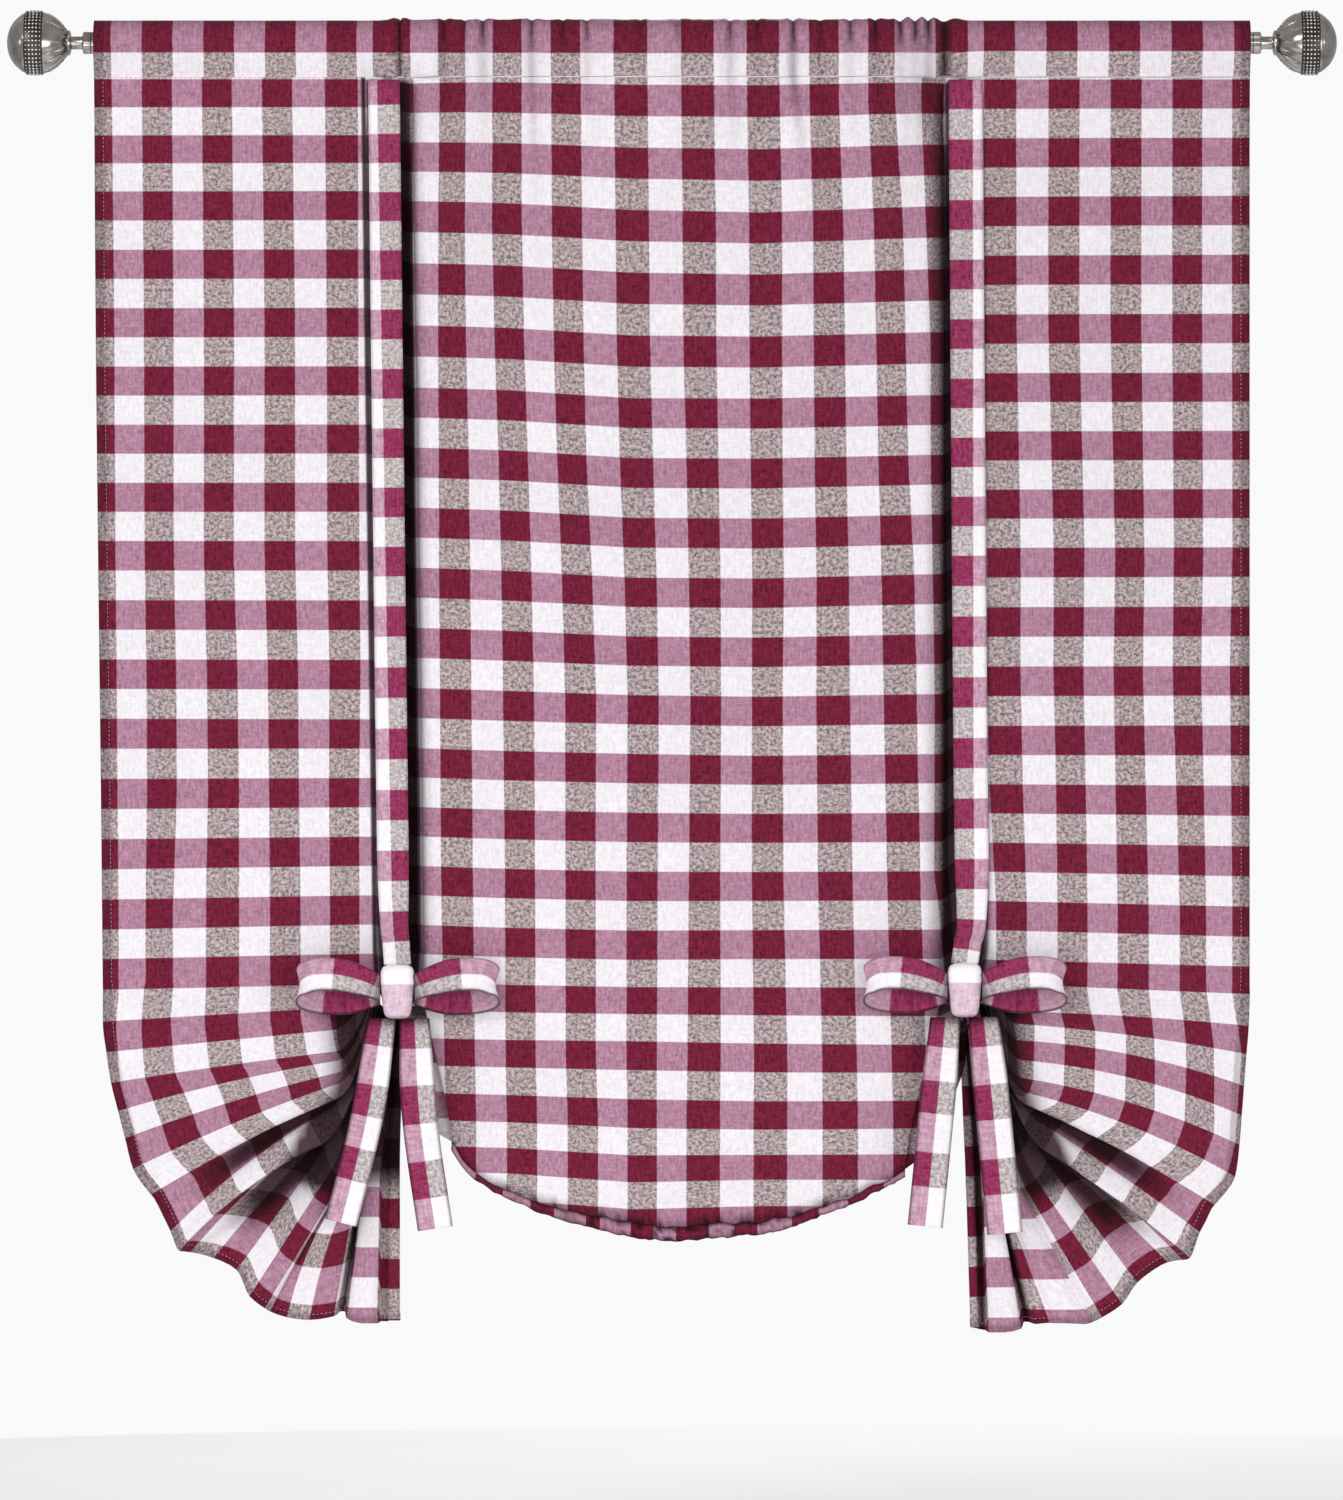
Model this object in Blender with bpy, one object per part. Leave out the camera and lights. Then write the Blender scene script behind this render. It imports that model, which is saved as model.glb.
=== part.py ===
"""A tie-up window shade of checked cotton, hung on a curtain rod with ball finials.

The cloth is one sheet: a rod pocket at the top, two flat side panels, a wider centre panel, and a
channel behind each front strap. At each bow the side panel is drawn together, so that below it the
cloth opens into a fan of folds with a short hanging pleat, while the centre ends in a scallop.

Frame: X to the right, -Y to the room, Z up, origin on the rod's axis at the middle of the shade.
All sizes below are in millimetres and are scaled to metres as the meshes are made.
"""

import math

import bmesh
import bpy
from mathutils import Vector

for leftover in list(bpy.data.objects):
    bpy.data.objects.remove(leftover, do_unlink=True)

MM = 0.001
FIT = 0.3
DOWN = Vector((0.0, 0.0, -1.0))
FORWARD = Vector((0.0, -1.0, 0.0))

# Rod and pocket
ROD_RADIUS = 15.9
ROD_HALF = 490.0
ROD_SIDES = 28
CLOTH = 1.5
POCKET_ARC_STEPS = 10
POCKET_WRAP = 0.702
POCKET_MOUTH = 2.6
STITCH_Z = -28.5
POCKET_GATHER = 2.2
GATHER_PITCHES = (7.3, 19.0)
GATHER_EDGE = 12.0

# Outline of the hung cloth
HALF_WIDTH = 491.0
SELVEDGE_DRIFT = 8.0
BOW_TOP_Z = -771.0
DRAWN_IN_Z = -797.0
UPPER_ROWS = (
    -28.5, -39.0, -85.0, -160.0, -255.0, -360.0, -470.0, -580.0, -685.0, BOW_TOP_Z, DRAWN_IN_Z,
)

# Channel of spare cloth behind each strap
CHANNEL_DEPTH = 21.0
CHANNEL_FULL_Z = -160.0
CHANNEL_SECTION = ((0.06, 0.55), (0.2, 0.95), (0.5, 1.0), (0.8, 0.95), (0.94, 0.55))

# Where the lips of the channels lie
# name: (x at the pocket, x above the bows, x behind the knot)
LIPS = {
    "left_panel": (-262.0, -251.6, -250.0),
    "left_centre": (-221.0, -210.8, -213.0),
    "right_centre": (230.4, 227.8, 230.0),
    "right_panel": (264.4, 269.5, 266.0),
}
CHANNEL_DRAWN_IN = 0.7

# Columns of the sheet, as shares of the way from the selvedge or the lip
PANEL_COLUMNS = (0.0, 0.04, 0.17, 0.31, 0.46, 0.61, 0.75, 0.84, 0.92, 1.0)
KNEE_SHARE = 0.75
CENTRE_CELLS = 28

# Scallop of the centre
SCALLOP_LEFT_Z = -941.0
SCALLOP_RIGHT_Z = -963.0
SCALLOP_DROP = 67.0
SCALLOP_LEFT_X = -187.0
SCALLOP_RIGHT_X = 198.0
CENTRE_ROW_SHARES = (0.22, 0.45, 0.66, 0.84, 0.95)
HEM_ROLL = ((0.0, 4.5), (3.4, 0.0), (7.0, 5.0), (7.4, 14.0))
BILLOW = 13.0

# Soft folds that stand out in the centre: x at the top, x at the bottom, z where each ends,
# height and half-width
CENTRE_FOLDS = (
    (-178.0, -170.0, -420.0, 3.5, 20.0),
    (-95.0, -90.0, -300.0, 2.5, 26.0),
    (20.0, 24.0, -700.0, 3.0, 48.0),
    (113.0, 110.0, -480.0, 4.0, 16.0),
    (167.0, 198.0, -330.0, 6.0, 12.0),
    (214.0, 219.0, -900.0, 3.0, 10.0),
)

# Knots: x and z of the middle, and the sizes of the knot
KNOT_AT = {"left": (-232.7, -805.8), "right": (248.2, -804.5)}
KNOT_DEPTH_Y = -20.0
KNOT_WIDE = 30.0
KNOT_TALL = 45.0
KNOT_DEEP = 23.0
KNOT_HALF_AT_BAND = 14.5
KNOT_LOWER_SHARE = 0.82
KNOT_ROUNDING = 5.0

# The gathered cloth behind a knot
BUNCH_RADIUS = 25.0
BUNCH_OUT = -3.0
BUNCH_UP = 5.0
BUNCH_Y = 9.0
BUNCH_FOLDING = 0.35
BUNCH_EASE = 0.22

# Folds of a fan, from the side panel down to the last hanging pleat. Each row is one fold line:
# its outer end on the cloth's edge and its knee near the knot, as distances outwards and downwards
# from the knot and forwards depth, and how far the line between them sags.
# (out, down, depth, knee_out, knee_down, knee_depth, sag)
LEFT_FAN = (
    (251, -1, -1, 54, -5, -2, 0),
    (251, 26, -2, 54, 14, -4, 0),
    (248, 52, -2, 54, 33, -6, 0),
    (244, 78, -2, 52, 51, -8, 1),
    (238, 102, -2, 51, 59, -6, 3),
    (232, 125, -3, 50, 69, -9, 3),
    (225, 151, -5, 49, 78, -13, 3),
    (211, 171, -8, 50, 90, -17, 3),
    (207, 176, -7, 48, 85, -7, 3),
    (200, 190, -6, 51, 93, -3, 4),
    (193, 204, -7, 56, 99, -6, 6),
    (186, 220, -10, 61, 128, -16, 8),
    (182, 221, -3, 60, 111, -2, 5),
    (172, 223, 1, 65, 116, 7, 3),
    (157, 227, -1, 68, 129, 7, 2),
    (137, 237, -5, 68, 142, 4, 0),
    (126, 259, -9, 58, 154, 0, 0),
    (113, 269, -12, 53, 169, -3, 0),
    (109, 272, -5, 52, 173, 5, 2),
    (94, 277, -8, 51, 175, -1, 5),
    (75, 279, -11, 45, 178, -6, 3),
    (55, 276, -8, 38, 180, -4, 0),
    (50, 273, 8, 34, 180, 8, 0),
    (45, 273, 8, 31, 176, 8, 0),
    (43, 278, -6, 28, 161, -5, 0),
    (31, 282, -9, 22, 161, -7, 0),
    (18, 282, -8, 16, 161, -7, 0),
    (16, 281, 5, 14, 161, 4, 0),
    (9, 281, 5, 9, 161, 4, 0),
    (7, 280, -2, 6, 161, -2, 0),
    (-1, 280, -1, -1, 161, -1, 0),
    (-1, 280, 9, -1, 161, 8, 0),
)
RIGHT_FAN = (
    (243, 4, -1, 49, -4, -2, 0),
    (242, 31, -2, 48, 19, -4, 2),
    (240, 55, -2, 44, 29, -6, 3),
    (238, 82, -2, 46, 43, -5, 7),
    (236, 107, -2, 48, 60, -8, 8),
    (234, 132, -3, 49, 75, -12, 7),
    (230, 159, -6, 51, 87, -16, 7),
    (214, 181, -9, 51, 96, -18, 3),
    (210, 186, -8, 54, 91, -7, 3),
    (205, 197, -7, 57, 99, -3, 3),
    (200, 206, -7, 61, 111, -6, 2),
    (192, 227, -10, 65, 134, -16, 3),
    (189, 229, -3, 65, 118, -2, 2),
    (184, 230, 1, 68, 125, 7, 2),
    (173, 232, -1, 69, 136, 7, 2),
    (147, 249, -5, 70, 147, 4, 0),
    (134, 267, -9, 60, 160, 0, 0),
    (117, 278, -12, 54, 172, -3, 0),
    (110, 282, -4, 51, 176, 3, 0),
    (103, 284, -9, 46, 176, -7, 0),
    (82, 283, -11, 37, 178, -9, 0),
    (73, 283, -5, 35, 181, -4, 0),
    (61, 284, -6, 33, 182, -5, 0),
    (56, 283, 8, 31, 183, 8, 0),
    (51, 283, 8, 27, 179, 8, 0),
    (48, 288, -6, 27, 164, -5, 0),
    (34, 291, -9, 22, 164, -7, 0),
    (21, 291, -8, 16, 164, -7, 0),
    (19, 290, 5, 14, 164, 4, 0),
    (13, 289, 5, 10, 164, 4, 0),
    (11, 288, -2, 8, 164, -2, 0),
    (6, 287, -1, 2, 164, -1, 0),
    (6, 286, 9, 2, 164, 8, 0),
)

# Straps and bows: thickness, and the places that the photo gives for each side
STRAP_THICK = 1.6
STRAP_TOP_Z = -31.5
BACK_STRAP_CLEAR = 2.8
# side: (x at the pocket, x at the bow, width)
STRAPS = {"left": (-244.8, -236.3, 27.0), "right": (249.5, 254.8, 29.0)}
SLIT_X = {"left": -221.5, "right": 236.5}
SLIT_WIDTH = 14.0
SLIT_BELOW = 11.0

# Path of a loop, from the knot's front corner round to its back corner:
# out from the knot, depth, up from the knot's middle
LOOP_PATH = (
    (0.0, -27.0, 3.0),
    (14.0, -31.5, 9.0),
    (32.0, -34.0, 14.0),
    (50.0, -33.0, 15.0),
    (62.0, -29.0, 12.5),
    (67.5, -23.0, 6.0),
    (63.0, -17.0, -2.0),
    (48.0, -14.5, -5.5),
    (30.0, -14.0, -6.0),
    (14.0, -14.5, -4.0),
    (0.0, -16.0, -1.0),
)
LOOP_BAND = 28.0
LOOP_LEAN = 3.0
LOOP_END_SHARE = 0.78
LOOP_STEPS = 24

# Tails: (side, name): x and z at the top, at the middle and at the bottom, and the width
TAILS = {
    ("left", "outer"): ((-245.6, -828.7), (-259.0, -915.0), (-280.3, -1001.5), 27.5),
    ("left", "inner"): ((-218.5, -828.7), (-213.5, -915.0), (-200.5, -1006.5), 30.0),
    ("right", "inner"): ((232.0, -827.4), (223.5, -915.0), (214.5, -1004.5), 30.0),
    ("right", "outer"): ((264.2, -827.4), (273.0, -915.0), (282.0, -1010.5), 30.0),
}
TAIL_Y = (-17.5, -25.5, -27.5)
TAIL_STEPS = 9
TAIL_TOP_SHARE = 0.86

# Finials: profile of each turned piece, as (distance from the rod's end, radius)
FINIAL_START = ROD_HALF + FIT
FINIAL_SIDES = 24
FINIAL_PIECES = {
    "finial_neck": (
        (0.0, 0.0), (0.0, 8.6), (0.8, 9.4), (9.4, 9.4), (10.2, 8.6), (10.6, 5.5), (20.3, 5.5), (20.3, 0.0),
    ),
    "finial_taper": (
        (20.6, 0.0), (20.6, 8.5), (21.4, 10.4), (24.0, 11.8), (30.0, 17.5), (36.0, 22.6), (43.7, 26.0),
        (43.7, 0.0),
    ),
    "finial_band": (
        (44.0, 0.0), (44.0, 26.9), (47.5, 27.9), (51.5, 28.2), (55.5, 27.6), (59.2, 26.3), (59.2, 0.0),
    ),
    "finial_tip": (
        (59.5, 0.0), (59.5, 25.3), (63.5, 23.2), (68.0, 19.2), (71.8, 13.6), (74.0, 7.6), (74.8, 0.0),
    ),
}

BURGUNDY_CHECK = (0.28, 0.035, 0.10, 1.0)
STRAP_CHECK = (0.45, 0.16, 0.26, 1.0)
BRUSHED_NICKEL = (0.42, 0.41, 0.40, 1.0)


def material(name, colour, roughness, metallic):
    """Make a Principled material."""
    made = bpy.data.materials.new(name)
    made.use_nodes = True
    shader = made.node_tree.nodes["Principled BSDF"]
    shader.inputs["Base Color"].default_value = colour
    shader.inputs["Roughness"].default_value = roughness
    shader.inputs["Metallic"].default_value = metallic
    return made


def place(name, builder, finish, smooth_angle=math.radians(50.0)):
    """Turn a bmesh in millimetres into a named object in metres."""
    bmesh.ops.recalc_face_normals(builder, faces=builder.faces[:])
    bmesh.ops.triangulate(builder, faces=builder.faces[:])
    for vertex in builder.verts:
        vertex.co *= MM
    mesh = bpy.data.meshes.new(name)
    builder.to_mesh(mesh)
    builder.free()
    mesh.shade_smooth()
    mesh.set_sharp_from_angle(angle=smooth_angle)
    thing = bpy.data.objects.new(name, mesh)
    thing.data.materials.append(finish)
    bpy.context.scene.collection.objects.link(thing)
    return thing


def mix(start, end, share):
    """Blend two numbers or vectors."""
    return start + (end - start) * share


def ease(share):
    """Rise smoothly from 0 to 1."""
    share = min(max(share, 0.0), 1.0)
    return share * share * (3.0 - 2.0 * share)


def lip_x(name, z):
    """X of a channel's lip at a height."""
    pocket, bow, drawn_in = LIPS[name]
    if z < BOW_TOP_Z:
        return mix(bow, drawn_in, (z - BOW_TOP_Z) / (DRAWN_IN_Z - BOW_TOP_Z))
    return mix(pocket, bow, z / BOW_TOP_Z)


def selvedge_x(side, z):
    """X of the outer edge of a side panel."""
    drift = SELVEDGE_DRIFT * ease(-z / 1000.0)
    return side * (HALF_WIDTH - (drift if side < 0 else drift * 0.4))


def panel_wave(share, z):
    """Slow waves of a side panel, still at both of its edges."""
    fall = ease(-z / 400.0)
    swell = math.sin(math.pi * share)
    return swell * fall * (2.2 * math.sin(7.5 * share + z / 260.0) - 1.0)


def centre_relief(x, z, share):
    """How far forward the centre panel stands, as a negative depth."""
    forward = 0.0
    for top_x, low_x, end_z, height, half in CENTRE_FOLDS:
        down = z / end_z
        if down < 1.0:
            middle = mix(top_x, low_x, down)
            forward += height * math.exp(-((x - middle) / half) ** 2) * ease(1.6 * (1.0 - down))
    swell = math.sin(math.pi * share) ** 0.7 if 0.0 < share < 1.0 else 0.0
    forward += BILLOW * swell * ease((-z - 250.0) / 650.0)
    return -forward * min(1.0, 12.0 * share, 12.0 * (1.0 - share))


def scallop_z(share):
    """Height of the centre's lower edge."""
    power = mix(0.58, 1.0, share)
    return mix(SCALLOP_LEFT_Z, SCALLOP_RIGHT_Z, share) - SCALLOP_DROP * math.sin(math.pi * share) ** power


def bend(start, handle, end, share):
    """A point on a curve from start to end that leans towards the handle."""
    return start * (1 - share) ** 2 + handle * 2 * share * (1 - share) + end * share ** 2


def fan_point(side, knot, fold, order, share):
    """A point of one fold line: share 0 on the cloth's edge, 1 in the bunch behind the knot."""
    out, down, depth, knee_out, knee_down, knee_depth, sag = fold

    def at(outwards, downwards, y):
        return Vector((knot[0] + side * outwards, y, knot[1] - downwards))

    edge = at(out, down, depth)
    knee = at(knee_out, knee_down, knee_depth)
    run = knee - edge
    drop = Vector((run.z, 0.0, -run.x)) * (side / max(run.length, 1.0))
    if share <= KNEE_SHARE:
        handle = (edge + knee) / 2.0 + drop * (2.0 * sag)
        return bend(edge, handle, knee, share / KNEE_SHARE)
    turn = math.radians(mix(4.0, 92.0, order))
    bunch = at(
        BUNCH_OUT + BUNCH_RADIUS * math.cos(turn),
        -BUNCH_UP + BUNCH_RADIUS * math.sin(turn),
        BUNCH_Y + BUNCH_FOLDING * knee_depth,
    )
    handle = knee + run.normalized() * (bunch - knee).length * BUNCH_EASE
    return bend(knee, handle, bunch, (share - KNEE_SHARE) / (1.0 - KNEE_SHARE))


def panel_column(side, share, fan):
    """Points down one column of a side panel and its fan."""
    knot = KNOT_AT["left" if side < 0 else "right"]
    lip = "left_panel" if side < 0 else "right_panel"
    points = []
    for z in UPPER_ROWS:
        x = mix(selvedge_x(side, z), lip_x(lip, z), share)
        points.append(Vector((x, panel_wave(share, z), z)))
    for index, fold in enumerate(fan):
        points.append(fan_point(side, knot, fold, index / (len(fan) - 1), share))
    return points


def channel_column(near, far, across, depth):
    """Points down one column of the channel between two lips."""
    points = []
    for z in UPPER_ROWS:
        deep = CHANNEL_DEPTH * ease((z - STITCH_Z) / (CHANNEL_FULL_Z - STITCH_Z))
        if z < BOW_TOP_Z:
            deep *= CHANNEL_DRAWN_IN
        points.append(Vector((mix(lip_x(near, z), lip_x(far, z), across), deep * depth, z)))
    return points


def centre_column(share):
    """Points down one column of the centre, as far as the rolled hem."""
    points = []
    for z in UPPER_ROWS:
        x = mix(lip_x("left_centre", z), lip_x("right_centre", z), share)
        points.append(Vector((x, centre_relief(x, z, share), z)))
    start = points[-1]
    low_x = mix(SCALLOP_LEFT_X, SCALLOP_RIGHT_X, share)
    low_z = scallop_z(share)
    for down in CENTRE_ROW_SHARES:
        z = mix(start.z, low_z, down)
        x = mix(start.x, low_x, ease(down) * 0.5 + down * 0.5)
        points.append(Vector((x, centre_relief(x, z, share), z)))
    front = centre_relief(low_x, low_z, share)
    for back, up in HEM_ROLL:
        points.append(Vector((low_x, front + back, low_z + up)))
    return points


def sheet_columns():
    """All columns of the sheet from left to right, each with the patch that it belongs to."""
    columns = [("left", panel_column(-1, share, LEFT_FAN)) for share in PANEL_COLUMNS]
    for across, depth in CHANNEL_SECTION:
        columns.append(("channel", channel_column("left_panel", "left_centre", across, depth)))
    for index in range(CENTRE_CELLS + 1):
        columns.append(("centre", centre_column(index / CENTRE_CELLS)))
    for across, depth in CHANNEL_SECTION:
        columns.append(("channel", channel_column("right_centre", "right_panel", across, depth)))
    for share in reversed(PANEL_COLUMNS):
        columns.append(("right", panel_column(1, share, RIGHT_FAN)))
    return columns


def has_cell(columns, row, column):
    """Whether the sheet is whole between two neighbouring rows and columns."""
    if not 0 <= row or not 0 <= column < len(columns) - 1:
        return False
    (patch, points), (next_patch, next_points) = columns[column], columns[column + 1]
    if row + 1 >= min(len(points), len(next_points)):
        return False
    return row + 1 < len(UPPER_ROWS) or patch == next_patch


def sheet_normals(columns):
    """Direction towards the back at each point of the sheet."""
    normals = [[Vector() for _ in points] for _, points in columns]
    for column in range(len(columns) - 1):
        for row in range(len(columns[column][1]) - 1):
            if not has_cell(columns, row, column):
                continue
            corners = ((row, column), (row + 1, column), (row + 1, column + 1), (row, column + 1))
            a, b, c, d = (columns[j][1][i] for i, j in corners)
            facing = (c - a).cross(b - d)
            for i, j in corners:
                normals[j][i] += facing
    for line in normals:
        for normal in line:
            normal.normalize()
    return normals


def pocket_lift(x):
    """How far the gathered centre of the pocket stands off the rod."""
    left, right = LIPS["left_centre"][0], LIPS["right_centre"][0]
    if not left < x < right:
        return 0.0
    inner = min(1.0, (x - left) / GATHER_EDGE, (right - x) / GATHER_EDGE)
    short, long = GATHER_PITCHES
    return inner * POCKET_GATHER * (0.55 + 0.45 * math.sin(x / short) * math.cos(x / long))


def pocket_section(x):
    """Outer and inner points round the rod, from the front of the stitch line to the back."""
    half_step = math.pi * POCKET_WRAP / POCKET_ARC_STEPS
    inner_radius = (ROD_RADIUS + FIT) / math.cos(half_step)
    lift = pocket_lift(x)
    outer = [Vector((x, -CLOTH, STITCH_Z))]
    inner = [Vector((x, 0.0, STITCH_Z + POCKET_MOUTH))]
    for step in range(POCKET_ARC_STEPS + 1):
        turn = half_step * (2 * step - POCKET_ARC_STEPS)
        radial = Vector((0.0, math.sin(turn), math.cos(turn)))
        outer.append(Vector((x, 0.0, 0.0)) + radial * (inner_radius + CLOTH + lift))
        inner.append(Vector((x, 0.0, 0.0)) + radial * (inner_radius + lift))
    outer.append(Vector((x, CLOTH, STITCH_Z)))
    return outer, inner


def build_cloth(finish):
    """Build the whole sheet with its rod pocket as one closed body."""
    columns = sheet_columns()
    normals = sheet_normals(columns)
    builder = bmesh.new()
    fronts, backs, outers, inners = [], [], [], []
    for column, (_, points) in enumerate(columns):
        outer, inner = pocket_section(points[0].x)
        outer_ring = [builder.verts.new(point) for point in outer]
        inner_ring = [builder.verts.new(point) for point in inner]
        inners.append(inner_ring + inner_ring[:1])
        outers.append(outer_ring)
        front, back = [outer_ring[0]], [outer_ring[-1]]
        for row in range(1, len(points)):
            half = normals[column][row] * (CLOTH / 2.0)
            front.append(builder.verts.new(points[row] - half))
            back.append(builder.verts.new(points[row] + half))
        fronts.append(front)
        backs.append(back)

    def wall(row_a, column_a, row_b, column_b):
        builder.faces.new((
            fronts[column_a][row_a], fronts[column_b][row_b],
            backs[column_b][row_b], backs[column_a][row_a],
        ))

    for column in range(len(columns) - 1):
        for skin in (outers, inners):
            here, there = skin[column], skin[column + 1]
            for step in range(len(here) - 1):
                builder.faces.new((here[step], here[step + 1], there[step + 1], there[step]))
        for row in range(len(columns[column][1]) - 1):
            if not has_cell(columns, row, column):
                continue
            for skin in (fronts, backs):
                here, there = skin[column], skin[column + 1]
                builder.faces.new((here[row], here[row + 1], there[row + 1], there[row]))
            if not has_cell(columns, row, column - 1):
                wall(row, column, row + 1, column)
            if not has_cell(columns, row, column + 1):
                wall(row, column + 1, row + 1, column + 1)
            if not has_cell(columns, row + 1, column):
                wall(row + 1, column, row + 1, column + 1)
    for column in (0, len(columns) - 1):
        outer_ring, inner_ring = outers[column], inners[column]
        builder.faces.new((outer_ring[0], outer_ring[-1], inner_ring[0]))
        for step in range(len(outer_ring) - 1):
            builder.faces.new(
                (outer_ring[step], outer_ring[step + 1], inner_ring[step + 1], inner_ring[step])
            )
    return place("shade_cloth", builder, finish, math.radians(38.0))


def smooth_path(points, steps):
    """Even steps along a soft curve through the points."""
    ends = [points[0] * 2 - points[1]] + list(points) + [points[-1] * 2 - points[-2]]
    path = []
    for step in range(steps + 1):
        place_on = step / steps * (len(points) - 1)
        first = min(int(place_on), len(points) - 2)
        t = place_on - first
        a, b, c, d = ends[first:first + 4]
        path.append(
            (b * 2 + (c - a) * t + (a * 2 - b * 5 + c * 4 - d) * t * t
             + (b * 3 - a - c * 3 + d) * t * t * t) / 2
        )
    return path


def build_ribbon(name, path, across, widths, finish, start_along=None, end_along=None):
    """Sweep a flat strip along a path, with the direction of its width at each point.

    start_along and end_along square the strip's ends to what they meet.
    """
    builder = bmesh.new()
    rings = []
    for index, middle in enumerate(path):
        ahead = path[min(index + 1, len(path) - 1)] - path[max(index - 1, 0)]
        along = ahead.normalized()
        if index == 0 and start_along:
            along = start_along
        if index == len(path) - 1 and end_along:
            along = end_along
        side = (across[index] - along * across[index].dot(along)).normalized()
        through = along.cross(side)
        half = widths[index] / 2.0
        thick = STRAP_THICK / 2.0
        corners = ((-half, -thick), (half, -thick), (half, thick), (-half, thick))
        rings.append([builder.verts.new(middle + side * u + through * w) for u, w in corners])
    for here, there in zip(rings, rings[1:]):
        for corner in range(4):
            after = (corner + 1) % 4
            builder.faces.new((here[corner], here[after], there[after], there[corner]))
    builder.faces.new(rings[0])
    builder.faces.new(rings[-1])
    return place(name, builder, finish)


def build_front_strap(side, finish):
    """The strap that hangs in front of a channel and ends at the knot."""
    top_x, bow_x, width = STRAPS[side]
    knot_x, knot_z = KNOT_AT[side]
    end_z = knot_z + KNOT_TALL / 2.0 + FIT
    points = [
        Vector((top_x, -2.7, STRAP_TOP_Z)),
        Vector((mix(top_x, bow_x, 0.35), -3.4, -300.0)),
        Vector((mix(top_x, bow_x, 0.75), -3.6, -590.0)),
        Vector((bow_x, -5.0, -735.0)),
        Vector((mix(bow_x, knot_x, 0.6), -13.5, -765.0)),
        Vector((knot_x, KNOT_DEPTH_Y, end_z)),
    ]
    path = smooth_path(points, 15)
    widths = [mix(width, KNOT_WIDE - 7.0, ease((-p.z - 690.0) / 90.0)) for p in path]
    across = [Vector((1, 0, 0))] * len(path)
    return build_ribbon("strap_front_" + side, path, across, widths, finish, end_along=DOWN)


def build_back_strap(side, finish):
    """The strap behind the cloth, which comes forward through the slit to the back of the knot."""
    top_x, bow_x, width = STRAPS[side]
    _, knot_z = KNOT_AT[side]
    behind = CHANNEL_DEPTH + BACK_STRAP_CLEAR
    points = [
        Vector((top_x, BACK_STRAP_CLEAR, STRAP_TOP_Z)),
        Vector((top_x, BACK_STRAP_CLEAR + 1.6, -46.0)),
        Vector((top_x, BACK_STRAP_CLEAR + 8.2, -84.0)),
        Vector((top_x, BACK_STRAP_CLEAR + 14.8, -122.0)),
        Vector((top_x, BACK_STRAP_CLEAR + 20.2, -153.0)),
        Vector((top_x, behind + 0.4, -190.0)),
        Vector((mix(top_x, bow_x, 0.5), behind, -450.0)),
        Vector((mix(top_x, bow_x, 0.9), behind, -660.0)),
        Vector((mix(bow_x, SLIT_X[side], 0.6), behind, -772.0)),
        Vector((SLIT_X[side], behind - 2.5, -799.0)),
        Vector((SLIT_X[side], 9.0, knot_z - SLIT_BELOW)),
        Vector((SLIT_X[side], KNOT_DEPTH_Y + KNOT_DEEP / 2.0 + FIT, knot_z - SLIT_BELOW)),
    ]
    path = smooth_path(points, 33)
    widths = [mix(width - 2.0, SLIT_WIDTH, ease((-p.z - 660.0) / 110.0)) for p in path]
    across = [Vector((1, 0, 0))] * len(path)
    return build_ribbon("strap_back_" + side, path, across, widths, finish, end_along=FORWARD)


def build_knot(side, finish):
    """The wrapped band in the middle of the bow: a block narrower below, with a crowned front."""
    knot_x, knot_z = KNOT_AT[side]
    builder = bmesh.new()
    bmesh.ops.create_cube(builder, size=1.0)
    for vertex in builder.verts:
        narrow = 1.0 if vertex.co.z > 0 else KNOT_LOWER_SHARE
        vertex.co = Vector((
            vertex.co.x * KNOT_WIDE * narrow, vertex.co.y * KNOT_DEEP, vertex.co.z * KNOT_TALL,
        ))
    edges = [e for e in builder.edges if e.verts[0].co.y < 0 or e.verts[1].co.y < 0]
    bmesh.ops.bevel(builder, geom=edges, offset=KNOT_ROUNDING, segments=3, profile=0.6, affect="EDGES")
    for vertex in builder.verts:
        vertex.co += Vector((knot_x, KNOT_DEPTH_Y, knot_z))
    return place("bow_knot_" + side, builder, finish)


def build_loop(side, way, finish):
    """One loop of the bow: a band that leaves the knot, turns and comes back behind."""
    knot_x, knot_z = KNOT_AT[side]
    start = KNOT_HALF_AT_BAND + FIT
    outwards = -1.0 if way == "left" else 1.0
    points = [
        Vector((knot_x + outwards * (start + out), depth, knot_z + up)) for out, depth, up in LOOP_PATH
    ]
    path = smooth_path(points, LOOP_STEPS)
    across = [Vector((0, LOOP_LEAN / LOOP_BAND, 1))] * len(path)
    widths = []
    for index in range(len(path)):
        near = min(index, LOOP_STEPS - index) / 5.0
        widths.append(mix(LOOP_BAND * LOOP_END_SHARE, LOOP_BAND, ease(near)))
    leave = Vector((outwards, 0, 0))
    return build_ribbon("bow_loop_%s_%s" % (side, way), path, across, widths, finish, leave, -leave)


def build_tail(side, which, finish):
    """A free end of the bow that hangs in front of the folds."""
    top, middle, bottom, width = TAILS[side, which]
    points = [Vector((x, y, z)) for (x, z), y in zip((top, middle, bottom), TAIL_Y)]
    path = smooth_path(points, TAIL_STEPS)
    across = []
    for index in range(len(path)):
        ahead = path[min(index + 1, len(path) - 1)] - path[max(index - 1, 0)]
        across.append(Vector((-ahead.z, 0.0, ahead.x)))
    widths = [mix(width * TAIL_TOP_SHARE, width, ease(index / 3.0)) for index in range(len(path))]
    return build_ribbon("bow_tail_%s_%s" % (side, which), path, across, widths, finish, DOWN)


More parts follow.
